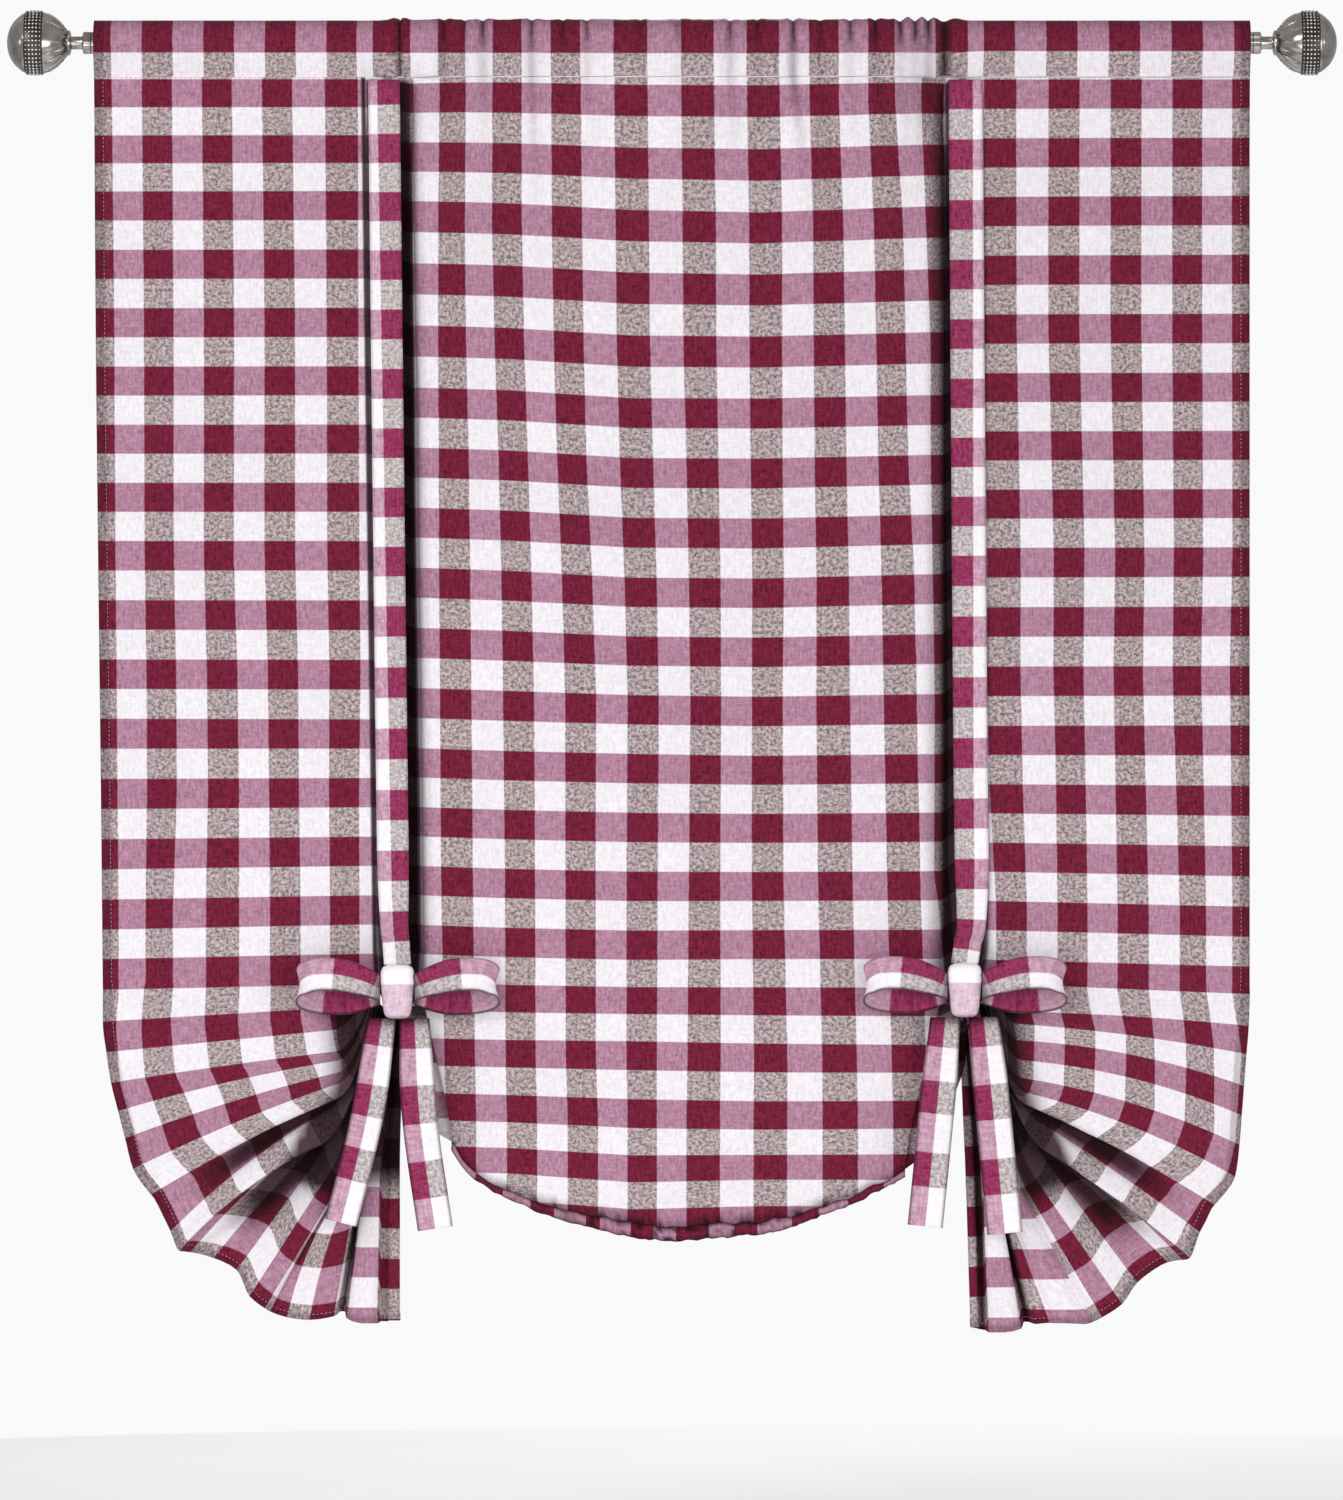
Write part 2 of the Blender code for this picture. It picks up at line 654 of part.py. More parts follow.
def turned(name, profile, x_start, facing, sides, finish):
    """Turn a profile round the rod's axis."""
    builder = bmesh.new()
    rings = []
    for along, radius in profile:
        x = x_start + facing * along
        if radius == 0.0:
            rings.append([builder.verts.new((x, 0.0, 0.0))])
            continue
        ring = []
        for step in range(sides):
            turn = 2.0 * math.pi * step / sides
            ring.append(builder.verts.new((x, radius * math.sin(turn), radius * math.cos(turn))))
        rings.append(ring)
    for here, there in zip(rings, rings[1:]):
        for step in range(sides):
            after = (step + 1) % sides
            if len(here) == 1:
                builder.faces.new((here[0], there[step], there[after]))
            elif len(there) == 1:
                builder.faces.new((here[step], here[after], there[0]))
            else:
                builder.faces.new((here[step], here[after], there[after], there[step]))
    return place(name, builder, finish, math.radians(30.0))


def main():
    """Build every piece of the shade, its rod and its finials."""
    check = material("checked_cotton", BURGUNDY_CHECK, 0.9, 0.0)
    strap_check = material("strap_cotton", STRAP_CHECK, 0.9, 0.0)
    nickel = material("brushed_nickel", BRUSHED_NICKEL, 0.35, 1.0)
    build_cloth(check)
    for side in ("left", "right"):
        build_front_strap(side, strap_check)
        build_back_strap(side, strap_check)
        build_knot(side, strap_check)
        for way in ("left", "right"):
            build_loop(side, way, strap_check)
        for which in ("outer", "inner"):
            build_tail(side, which, strap_check)
    rod_profile = ((-ROD_HALF, 0.0), (-ROD_HALF, ROD_RADIUS), (ROD_HALF, ROD_RADIUS), (ROD_HALF, 0.0))
    turned("rod", rod_profile, 0.0, 1.0, ROD_SIDES, nickel)
    for side, facing in (("left", -1.0), ("right", 1.0)):
        for piece, profile in FINIAL_PIECES.items():
            turned(piece + "_" + side, profile, facing * FINIAL_START, facing, FINIAL_SIDES, nickel)


main()
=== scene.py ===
"""Looks of a checked cotton tie-up shade that hangs on a curtain rod with ball finials.

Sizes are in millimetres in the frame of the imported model: X to the right, -Y to the room, Z up,
from the rod's axis at the middle of the shade. They become metres as each mesh is made. The cloth's
own coordinates, its UV map, count cells of the check: columns from the left selvedge and rows from
the top of the rod pocket.
"""

import logging
import math
from dataclasses import dataclass
from enum import Enum
from typing import Callable, Optional, Sequence

import bmesh
import bpy
import numpy as np
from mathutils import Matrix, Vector, noise


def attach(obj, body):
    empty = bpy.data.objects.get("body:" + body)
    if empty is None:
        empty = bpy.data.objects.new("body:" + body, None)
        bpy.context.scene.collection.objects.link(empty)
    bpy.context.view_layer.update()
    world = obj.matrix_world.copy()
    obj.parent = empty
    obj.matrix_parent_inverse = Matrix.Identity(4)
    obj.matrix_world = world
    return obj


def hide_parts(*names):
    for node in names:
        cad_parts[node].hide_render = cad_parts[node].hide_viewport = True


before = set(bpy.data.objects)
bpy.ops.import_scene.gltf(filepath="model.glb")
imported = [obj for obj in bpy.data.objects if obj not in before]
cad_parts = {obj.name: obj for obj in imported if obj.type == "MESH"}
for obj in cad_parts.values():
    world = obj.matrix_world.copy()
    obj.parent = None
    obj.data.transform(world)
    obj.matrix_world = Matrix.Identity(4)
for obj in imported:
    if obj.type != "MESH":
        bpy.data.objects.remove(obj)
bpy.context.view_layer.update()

LOG = logging.getLogger("tie_up_shade")
MM = 0.001
BODY = "root"
CELL_MAP = "cells"
SHADE_MARK = "shade"

Point = tuple[float, float]
Triple = tuple[float, float, float]
Table = tuple[tuple[float, ...], ...]
# A line of sewing: its points, each with the direction out of the cloth
Seam = list[tuple[Vector, Vector]]


# One cell of the check
CELL = 25.4

# Shape of the hung cloth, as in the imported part: the pocket touches the rod over a share of half a
# turn to each side of its top, and the bows draw the cloth in between two heights
ROD_RADIUS = 15.9
FIT = 0.3
POCKET_WRAP = 0.702
STITCH_Z = -28.5
BOW_TOP_Z = -771.0
DRAWN_IN_Z = -797.0

# Share of a fold line that lies between the cloth's edge and its knee
KNEE_SHARE = 0.75

# Middle of each knot: x, z, and their common y
KNOTS = {"left": (-232.7, -805.8), "right": (248.2, -804.5)}
KNOT_Y = -20.0

# Lips of the channels behind the straps: x at the pocket, above the bows and behind the knot
LIPS = {
    "left_panel": (-262.0, -251.6, -250.0),
    "left_centre": (-221.0, -210.8, -213.0),
    "right_centre": (230.4, 227.8, 230.0),
    "right_panel": (264.4, 269.5, 266.0),
}


@dataclass(frozen=True)
class Half:
    """What the left and the right half of the sheet don't share."""

    name: str
    outwards: int
    # How far in from its edge the centre turns back into the channel, and how deep
    lip_roll: Point
    # Share of the way across the channel at which each of its columns is sewn to the pocket
    pocket_spots: tuple[float, ...]
    fan: Table
    # The last fold lines, which hang as a pleat: column and z of row 0 for each
    pleat: tuple[Point, ...]
    # Valleys of the fan in shade: row, half-height in rows, where along the fold it starts
    valleys: tuple[Triple, ...]
    # Lines of equal column on the panel: z, then x of each column that the first row names
    columns: Table
    # Columns of the fan: row, then the lengths along its fold line to columns 0.5, 1.5 and so on
    fan_columns: Table

    @property
    def first_pleat(self) -> int:
        """Number of the fold line with which the hanging pleat starts."""
        return len(self.fan) - len(self.pleat)


LEFT = Half(
    name="left",
    outwards=-1,
    lip_roll=(7.0, 3.5),
    pocket_spots=(0.05, 0.12, 0.22, 0.34, 0.48, 0.62, 0.70, 0.752, 0.80, 0.87, 0.94),
    fan=(
        (251, -1, -1, 54, -5, -2, 0, 33.0), (251, 26, -2, 54, 14, -4, 0, 34.0),
        (248, 52, -2, 54, 33, -6, 0, 35.0), (244, 78, -2, 52, 51, -8, 1, 36.0),
        (238, 102, -2, 51, 59, -6, 3, 37.0), (232, 125, -3, 50, 69, -9, 3, 38.0),
        (225, 151, -5, 49, 78, -13, 3, 39.0), (211, 171, -8, 50, 90, -17, 3, 39.9),
        (207, 176, -7, 48, 85, -7, 3, 40.2), (200, 190, -6, 51, 93, -3, 4, 40.6),
        (193, 204, -7, 56, 99, -6, 6, 41.0), (186, 220, -10, 61, 128, -16, 8, 41.95),
        (182, 221, -3, 60, 111, -2, 5, 42.6), (172, 223, 1, 65, 116, 7, 3, 43.3),
        (157, 227, -1, 68, 129, 7, 2, 44.0), (137, 237, -5, 68, 142, 4, 0, 45.0),
        (126, 259, -9, 58, 154, 0, 0, 46.0), (113, 269, -12, 53, 169, -3, 0, 47.0),
        (109, 272, -5, 52, 173, 5, 2, 48.0), (94, 277, -8, 51, 175, -1, 5, 49.0),
        (75, 279, -11, 45, 178, -6, 3, 50.0), (55, 276, -8, 38, 180, -4, 0, 51.0),
        (50, 273, 8, 34, 180, 8, 0, 51.4), (45, 273, 8, 31, 176, 8, 0, 51.8),
        (43, 278, -6, 28, 161, -5, 0, 52.0), (31, 282, -9, 22, 161, -7, 0, 52.2),
        (18, 282, -8, 16, 161, -7, 0, 52.4), (16, 281, 5, 14, 161, 4, 0, 52.6),
        (9, 281, 5, 9, 161, 4, 0, 52.8), (7, 280, -2, 6, 161, -2, 0, 53.0),
        (-1, 280, -1, -1, 161, -1, 0, 53.2), (-1, 280, 9, -1, 161, 8, 0, 53.4),
    ),
    pleat=(
        (0.2, -1074.4), (0.5, -1074.4), (1.0, -1074.4), (1.5, -1074.4), (1.6, -1084.6),
        (1.95, -1084.6), (2.05, -1084.6), (2.45, -1084.6), (2.75, -1084.6),
    ),
    valleys=(
        (40.5, 0.5, 0.1), (43.9, 1.1, 0.15), (45.8, 1.9, 0.7), (51.6, 0.32, -1.0),
    ),
    columns=(
        (0.0, 0.5, 2.5, 4.5, 6.5, 8.5),
        (-41.6, -476.0, -424.9, -374.0, -322.9, -266.9),
        (-240.5, -474.0, -423.6, -372.1, -320.4, -266.5),
        (-434.3, -472.9, -423.4, -372.5, -320.2, -265.6),
        (-534.6, -471.9, -421.4, -369.3, -317.7, -264.7),
        (-634.9, -471.3, -420.7, -368.0, -317.0, -265.9),
        (-732.7, -470.3, -424.2, -367.9, -315.6, -265.6),
    ),
    fan_columns=(
        (33.0, 13.6, 34.9, 59.5, 87.6, 116.5, 142.8, 168.3, 192.1, 218.5),
        (36.0, 7.7, 28.9, 55.3, 85.0, 113.1, 142.0, 169.2, 193.8, 219.3),
        (41.95, 11.1, 41.7, 73.1, 98.6, 126.7, 153.0, 180.2, 206.6, 232.9),
        (45.5, 15.0, 46.8, 75.2, 99.5, 127.5, 154.7, 181.9, 209.1, 236.3),
        (48.0, 12.8, 45.1, 75.7, 102.0, 129.2, 156.4, 183.6, 210.8, 238.0),
    ),
)
RIGHT = Half(
    name="right",
    outwards=1,
    lip_roll=(16.0, 8.0),
    pocket_spots=(0.03, 0.10, 0.17, 0.26, 0.36, 0.46, 0.56, 0.66, 0.76, 0.86, 0.95),
    fan=(
        (243, 4, -1, 49, -4, -2, 0, 33.0), (242, 31, -2, 48, 19, -4, 2, 34.0),
        (240, 55, -2, 44, 29, -6, 3, 35.0), (238, 82, -2, 46, 43, -5, 7, 36.0),
        (236, 107, -2, 48, 60, -8, 8, 37.0), (234, 132, -3, 49, 75, -12, 7, 38.0),
        (230, 159, -6, 51, 87, -16, 7, 39.0), (214, 181, -9, 51, 96, -18, 3, 39.9),
        (210, 186, -8, 54, 91, -7, 3, 40.2), (205, 197, -7, 57, 99, -3, 3, 40.6),
        (200, 206, -7, 61, 111, -6, 2, 41.0), (192, 227, -10, 65, 134, -16, 3, 41.95),
        (189, 229, -3, 65, 118, -2, 2, 42.6), (184, 230, 1, 68, 125, 7, 2, 43.3),
        (173, 232, -1, 69, 136, 7, 2, 44.0), (147, 249, -5, 70, 147, 4, 0, 45.0),
        (134, 267, -9, 60, 160, 0, 0, 46.0), (117, 278, -12, 54, 172, -3, 0, 47.0),
        (110, 282, -4, 51, 176, 3, 0, 48.0), (103, 284, -9, 46, 176, -7, 0, 48.6),
        (82, 283, -11, 37, 178, -9, 0, 49.4), (73, 283, -5, 35, 181, -4, 0, 50.2),
        (61, 284, -6, 33, 182, -5, 0, 51.0), (56, 283, 8, 31, 183, 8, 0, 51.4),
        (51, 283, 8, 27, 179, 8, 0, 51.8), (48, 288, -6, 27, 164, -5, 0, 52.0),
        (34, 291, -9, 22, 164, -7, 0, 52.2), (21, 291, -8, 16, 164, -7, 0, 52.4),
        (19, 290, 5, 14, 164, 4, 0, 52.6), (13, 289, 5, 10, 164, 4, 0, 52.8),
        (11, 288, -2, 8, 164, -2, 0, 53.0), (6, 287, -1, 2, 164, -1, 0, 53.2),
        (6, 286, 9, 2, 164, 8, 0, 53.4),
    ),
    pleat=(
        (0.5, -1076.1), (0.83, -1076.1), (1.17, -1076.1), (1.5, -1076.1), (1.8, -1076.1),
        (2.1, -1076.1), (2.3, -1076.1), (2.5, -1082.9), (3.0, -1082.9), (3.5, -1082.9),
        (3.6, -1091.4), (3.9, -1091.4), (4.0, -1091.4), (4.3, -1091.4), (4.6, -1091.4),
    ),
    valleys=(
        (40.5, 0.5, 0.1), (44.0, 1.05, 0.15), (45.8, 1.7, 0.75), (51.55, 0.35, -1.0),
        (52.7, 0.18, -1.0),
    ),
    columns=(
        (0.0, 33.5, 35.5, 37.5, 39.5, 41.5),
        (-41.6, 265.2, 320.0, 372.8, 425.4, 476.0),
        (-240.5, 266.1, 319.9, 372.6, 425.3, 476.0),
        (-434.3, 268.3, 324.4, 376.7, 426.6, 476.3),
        (-534.6, 268.3, 324.2, 375.4, 425.5, 474.0),
        (-634.9, 270.0, 326.6, 377.1, 428.6, 475.3),
        (-732.7, 275.6, 327.7, 378.8, 431.7, 476.2),
    ),
    fan_columns=(
        (33.0, 15.3, 36.6, 59.5, 85.9, 113.1, 138.6, 164.1, 188.7, 215.9),
        (35.0, 4.3, 28.1, 51.9, 79.9, 103.7, 130.1, 156.4, 181.9, 209.1),
        (38.0, 4.3, 23.8, 51.0, 78.2, 104.6, 131.8, 158.1, 184.5, 210.8),
        (41.95, 17.0, 48.5, 74.8, 102.9, 128.4, 155.6, 181.9, 208.3, 234.6),
        (45.5, 14.5, 45.9, 75.7, 100.3, 127.5, 154.7, 181.9, 209.1, 236.3),
        (48.0, 12.8, 45.1, 75.7, 102.0, 129.2, 156.4, 183.6, 210.8, 238.0),
    ),
)
HALVES = {half.name: half for half in (LEFT, RIGHT)}


def mix(start, end, share):
    """Blend two numbers or vectors."""
    return start + (end - start) * share


def ease(share: float) -> float:
    """Rise smoothly from 0 to 1."""
    share = min(max(share, 0.0), 1.0)
    return share * share * (3.0 - 2.0 * share)


def bend(start: Vector, handle: Vector, end: Vector, share: float) -> Vector:
    """A point on a curve from start to end that leans towards the handle."""
    return start * (1 - share) ** 2 + handle * 2 * share * (1 - share) + end * share ** 2


def bump_at(x: float, middle: float, half: float) -> float:
    """A soft hill of height 1."""
    return math.exp(-(((x - middle) / half) ** 2))


def rough(x: float, y: float, z: float = 0.0) -> float:
    """Smooth noise from -1 to 1 that is the same in every run."""
    return noise.noise(Vector((x, y, z)))


def look_up(places: Sequence[float], values: Sequence[float], at: float) -> float:
    """Look a value up, and carry the end steps on past both ends."""
    for end, inner in ((0, 1), (-1, -2)):
        beyond = (at - places[end]) * (places[end] - places[inner])
        if beyond > 0.0:
            pitch = (values[end] - values[inner]) / (places[end] - places[inner])
            return float(values[end] + (at - places[end]) * pitch)
    return float(np.interp(at, places, values))


def fill_in(table: Sequence[Sequence[float]], steps: Sequence[int]) -> np.ndarray:
    """Add soft in-between rows to a table, with no overshoot past its own values.

    Args:
        table: the rows to pass through.
        steps: how many steps each gap between two rows is cut into.

    Returns:
        The finer table, whose last column is the row number in the first one.
    """
    rows = np.array(table, float)
    change = np.diff(rows, axis=0)
    slopes = np.zeros_like(rows)
    slopes[0], slopes[-1] = change[0], change[-1]
    before, after = change[:-1], change[1:]
    same_way = before * after > 0
    total = np.where(same_way, before + after, 1.0)
    slopes[1:-1] = np.where(same_way, 2.0 * before * after / total, 0.0)
    finer = []
    for index, count in enumerate(steps):
        for step in range(count):
            t = step / count
            here, there = rows[index], rows[index + 1]
            value = (
                here * (1 + 2 * t) * (1 - t) ** 2 + there * t * t * (3 - 2 * t)
                + slopes[index] * t * (1 - t) ** 2 + slopes[index + 1] * t * t * (t - 1)
            )
            finer.append(np.append(value, index + t))
    finer.append(np.append(rows[-1], len(rows) - 1))
    return np.array(finer)


def smooth_path(points: Sequence[Vector], steps: int) -> list[Vector]:
    """Even steps along a soft curve through the points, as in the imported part."""
    ends = [points[0] * 2 - points[1], *points, points[-1] * 2 - points[-2]]
    path = []
    for step in range(steps + 1):
        place_on = step / steps * (len(points) - 1)
        first = min(int(place_on), len(points) - 2)
        t = place_on - first
        a, b, c, d = ends[first:first + 4]
        path.append(
            (b * 2 + (c - a) * t + (a * 2 - b * 5 + c * 4 - d) * t * t
             + (b * 3 - a - c * 3 + d) * t * t * t) / 2
        )
    return path


def mesh_piece(
    name: str,
    points: Sequence[Sequence[float]],
    faces: Sequence[Sequence[int]],
    cells: Optional[Sequence[Sequence[Point]]] = None,
    closed: bool = False,
) -> bpy.types.Object:
    """Make an object from points in millimetres.

    Args:
        name: the object's name.
        points: its points.
        faces: the points of each face.
        cells: the cloth coordinates of each face's corners, in the order of faces.
        closed: whether the mesh is a closed body, whose faces are then turned outwards.

    Returns:
        The new object, at the origin.
    """
    mesh = bpy.data.meshes.new(name)
    mesh.from_pydata([tuple(c * MM for c in p) for p in points], [], [tuple(f) for f in faces])
    if cells is not None:
        layer = mesh.uv_layers.new(name=CELL_MAP)
        layer.data.foreach_set("uv", [c for face in cells for corner in face for c in corner])
    if closed:
        builder = bmesh.new()
        builder.from_mesh(mesh)
        bmesh.ops.recalc_face_normals(builder, faces=builder.faces[:])
        builder.to_mesh(mesh)
        builder.free()
    mesh.shade_smooth()
    thing = bpy.data.objects.new(name, mesh)
    bpy.context.scene.collection.objects.link(thing)
    return thing


def mark_shade(thing: bpy.types.Object, losses: Sequence[float]) -> None:
    """Store how much light each point of a piece loses in creases, hems and hollows."""
    layer = thing.data.attributes.new(SHADE_MARK, "FLOAT", "POINT")
    layer.data.foreach_set("value", [min(max(loss, 0.0), 1.0) for loss in losses])


def rgb(code: str) -> tuple[float, float, float, float]:
    """A colour from its web code, in the linear values that shaders use."""
    parts = [int(code[i:i + 2], 16) / 255.0 for i in (0, 2, 4)]
    linear = [p / 12.92 if p <= 0.04045 else ((p + 0.055) / 1.055) ** 2.4 for p in parts]
    return (linear[0], linear[1], linear[2], 1.0)


def operator_pair(operation: str) -> tuple[Callable, Callable]:
    """The methods of Flow for an operator, with the flow on its left and on its right."""
    def forward(self: "Flow", other: "Flow | float") -> "Flow":
        """Apply the operator."""
        return self._math(operation, self, other)

    def reflected(self: "Flow", other: float) -> "Flow":
        """Apply the operator to a number on the left."""
        return self._math(operation, other, self)

    return forward, reflected


class Flow:
    """A number, vector or colour that flows through a material, with the usual operators."""

    def __init__(self, graph: "Nodes", socket: bpy.types.NodeSocket) -> None:
        """Wrap one output socket of a node tree."""
        self.graph = graph
        self.socket = socket

    def _math(self, operation: str, *values: "Flow | float", clamp: bool = False) -> "Flow":
        """Add a Math node on some values."""
        settings = {"operation": operation, "use_clamp": clamp}
        return self.graph.node("ShaderNodeMath", settings, dict(enumerate(values)))

    __add__, __radd__ = operator_pair("ADD")
    __sub__, __rsub__ = operator_pair("SUBTRACT")
    __mul__, __rmul__ = operator_pair("MULTIPLY")

    def clamped(self) -> "Flow":
        """The value kept between 0 and 1."""
        return self._math("ADD", self, 0.0, clamp=True)

    def sine(self) -> "Flow":
        """The sine of the value."""
        return self._math("SINE", self)

    def contrast(self, gain: float) -> "Flow":
        """Stretch a value round one half and keep it between 0 and 1."""
        return ((self - 0.5) * gain + 0.5).clamped()


class Nodes:
    """A node tree that grows by one node at a time."""

    def __init__(self, tree: bpy.types.NodeTree) -> None:
        """Wrap a tree."""
        self.tree = tree

    def node(
        self, kind: str, settings: Optional[dict] = None, inputs: Optional[dict] = None,
        output: int | str = 0,
    ) -> Flow:
        """Add a node.

        Args:
            kind: the node's type.
            settings: its properties, set before its sockets.
            inputs: the value or link of each named or numbered socket.
            output: which output to return.

        Returns:
            The chosen output.
        """
        made = self.tree.nodes.new(kind)
        for name, value in (settings or {}).items():
            setattr(made, name, value)
        for name, value in (inputs or {}).items():
            if isinstance(value, Flow):
                self.tree.links.new(value.socket, made.inputs[name])
            else:
                made.inputs[name].default_value = value
        return Flow(self, made.outputs[output])


Tint = Flow | Sequence[float]


class Graph(Nodes):
    """The node tree of one material."""

    grain_roughness = 0.55

    def __init__(self, name: str) -> None:
        """Start a Principled material."""
        self.material = bpy.data.materials.new(name)
        self.material.use_nodes = True
        super().__init__(self.material.node_tree)
        self.shader = self.tree.nodes["Principled BSDF"]

    def blend(self, start: Tint, end: Tint, share: Flow) -> Flow:
        """Blend two colours by a share."""
        inputs = {0: share, 6: start, 7: end}
        return self.node("ShaderNodeMix", {"data_type": "RGBA"}, inputs, output=2)

    def vector(self, x: "Flow | float", y: "Flow | float", z: "Flow | float") -> Flow:
        """Join three numbers."""
        return self.node("ShaderNodeCombineXYZ", None, {0: x, 1: y, 2: z})

    def parts(self, vector: Flow) -> tuple[Flow, Flow, Flow]:
        """Take a vector apart."""
        first = self.node("ShaderNodeSeparateXYZ", None, {0: vector})
        outputs = first.socket.node.outputs
        return first, Flow(self, outputs[1]), Flow(self, outputs[2])

    def grain(self, place: Flow, scale: float, detail: float = 2.0) -> Flow:
        """Noise over a place, from 0 to 1."""
        return self.node(
            "ShaderNodeTexNoise", {"noise_dimensions": "3D"},
            {"Vector": place, "Scale": scale, "Detail": detail, "Roughness": self.grain_roughness},
            output="Fac",
        )

    def cells(self) -> Flow:
        """The piece's own cloth coordinates."""
        return self.node("ShaderNodeUVMap", {"uv_map": CELL_MAP})

    def object_place(self) -> Flow:
        """Coordinates of the object, in metres."""
        return self.node("ShaderNodeTexCoord", None, None, output="Object")

    def set(self, **values: "Flow | float | Sequence[float]") -> None:
        """Set or link sockets of the shader, with underscores for the spaces in their names."""
        for name, value in values.items():
            socket = self.shader.inputs[name.replace("_", " ")]
            if isinstance(value, Flow):
                self.tree.links.new(value.socket, socket)
            else:
                socket.default_value = value

    def raise_by(self, height: Flow, distance: float, strength: float) -> None:
        """Give the surface relief from a height."""
        normal = self.node(
            "ShaderNodeBump", None, {"Height": height, "Distance": distance, "Strength": strength}
        )
        self.set(Normal=normal)


@dataclass(frozen=True)
class Yarn:
    """The darkest and the lightest tone that one kind of cell shows between its threads."""

    low: str
    high: str


@dataclass(frozen=True)
class CheckedCotton:
    """An even check, woven from dark and white warp and burgundy and white weft."""

    name: str
    burgundy: Yarn
    mauve: Yarn
    taupe: Yarn
    white: Yarn
    edge_sharpness: float = 13.0
    threads: float = 11.0

    def build(self) -> bpy.types.Material:
        """Make the material."""
        graph = Graph(self.name)
        graph.grain_roughness = 0.72
        across, down, _ = graph.parts(graph.cells())
        weft_fuzz = graph.grain(graph.vector(across * 9.0, down * 40.0, 3.0), 1.0)
        warp_fuzz = graph.grain(graph.vector(across * 40.0, down * 9.0, 7.0), 1.0)
        dark = self._bars(across + 0.5 + (weft_fuzz - 0.5) * 0.05)
        wine = self._bars(down + (warp_fuzz - 0.5) * 0.05)

        streaks = graph.grain(graph.vector(across * self.threads, down * 3.0, 0.0), 1.0, 4.0)
        bars = graph.grain(graph.vector(across * 3.0, down * self.threads, 4.0), 1.0, 4.0)
        specks = graph.grain(graph.vector(across * 9.0, down * 9.0, 9.0), 1.0, 5.0)
        patches = graph.grain(graph.vector(across, down, 2.0), 0.35, 3.0)
        lines = (streaks * 0.45 + bars * 0.25 + specks * 0.3).contrast(4.6)
        salt = specks.contrast(4.6)
        is_taupe = dark * (1.0 - wine)
        thread = lines * (1.0 - is_taupe * 0.75) + salt * is_taupe * 0.75

        low = self._four(graph, dark, wine, "low")
        high = self._four(graph, dark, wine, "high")
        woven = graph.blend(low, high, thread)
        shade = (patches - 0.5) * 0.16 + 1.0
        # Painted shade: the light that each point loses in creases, hems, channels, fan valleys and
        # at the edges of straps and knots darkens the base colour, the red a little less
        loss = graph.node("ShaderNodeAttribute", {"attribute_name": SHADE_MARK}, None, "Fac")
        tone = graph.vector(
            shade * (1.0 - loss * 0.965), shade * (1.0 - loss), shade * (1.0 - loss * 0.99)
        )
        colour = graph.node(
            "ShaderNodeVectorMath", {"operation": "MULTIPLY"}, {0: woven, 1: tone}
        )
        weave = (across * (math.tau * 15.0)).sine() * (down * (math.tau * 15.0)).sine()
        relief = streaks * 0.45 + bars * 0.35 + specks * 0.35 + weave * 0.08
        graph.raise_by(relief, 0.0007, 0.55)
        graph.set(
            Base_Color=colour, Roughness=0.86 + (specks - 0.5) * 0.12, Metallic=0.0,
            Specular_IOR_Level=0.15, Sheen_Weight=0.03, Sheen_Roughness=0.6,
        )
        return graph.material

    def _bars(self, place: Flow) -> Flow:
        """1 in every other unit of a place, from 0 to 1, and 0 between, with woven edges."""
        return ((place * math.pi).sine() * self.edge_sharpness + 0.5).clamped()

    def _four(self, graph: Graph, dark: Flow, wine: Flow, tone: str) -> Flow:
        """The tone of whichever of the four kinds of cell lies at a place."""
        white, taupe, mauve, burgundy = (
            rgb(getattr(yarn, tone)) for yarn in (self.white, self.taupe, self.mauve, self.burgundy)
        )
        with_wine = graph.blend(mauve, burgundy, dark)
        with_white = graph.blend(white, taupe, dark)
        return graph.blend(with_white, with_wine, wine)


@dataclass(frozen=True)
class CottonThread:
    """Pale sewing thread."""

    name: str
    low: str
    high: str

    def build(self) -> bpy.types.Material:
        """Make the material."""
        graph = Graph(self.name)
        twist = graph.grain(graph.object_place(), 1400.0, 2.0)
        colour = graph.blend(rgb(self.low), rgb(self.high), twist.contrast(2.0))
        graph.raise_by(twist, 0.0002, 0.4)
        graph.set(Base_Color=colour, Roughness=0.7 + (twist - 0.5) * 0.2)
        return graph.material


@dataclass(frozen=True)
class Nickel:
    """Plated metal, with fine brushing round the rod and a little tarnish."""

    name: str
    bright: str
    dull: str
    roughness: float
    tarnish: float
    rubbed_bright: float = 0.0

    def build(self) -> bpy.types.Material:
        """Make the material."""
        graph = Graph(self.name)
        x, y, z = graph.parts(graph.object_place())
        brushing = graph.grain(graph.vector(x * 2600.0, y * 60.0, z * 60.0), 1.0, 3.0)
        cloud = graph.grain(graph.object_place(), 90.0, 4.0)
        worn = (cloud.contrast(2.2) * self.tarnish).clamped()
        colour = graph.blend(rgb(self.bright), rgb(self.dull), worn)
        if self.rubbed_bright:
            proud = (y * y + z * z - (self.rubbed_bright * MM) ** 2) * 24000.0
            colour = graph.blend(colour, rgb("E6E2DE"), proud.clamped())
        graph.raise_by(brushing * 0.6 + cloud * 0.4, 0.00025, 0.25)
        graph.set(
            Base_Color=colour, Metallic=1.0,
            Roughness=self.roughness + (brushing - 0.5) * 0.16 + worn * 0.1,
        )
        return graph.material


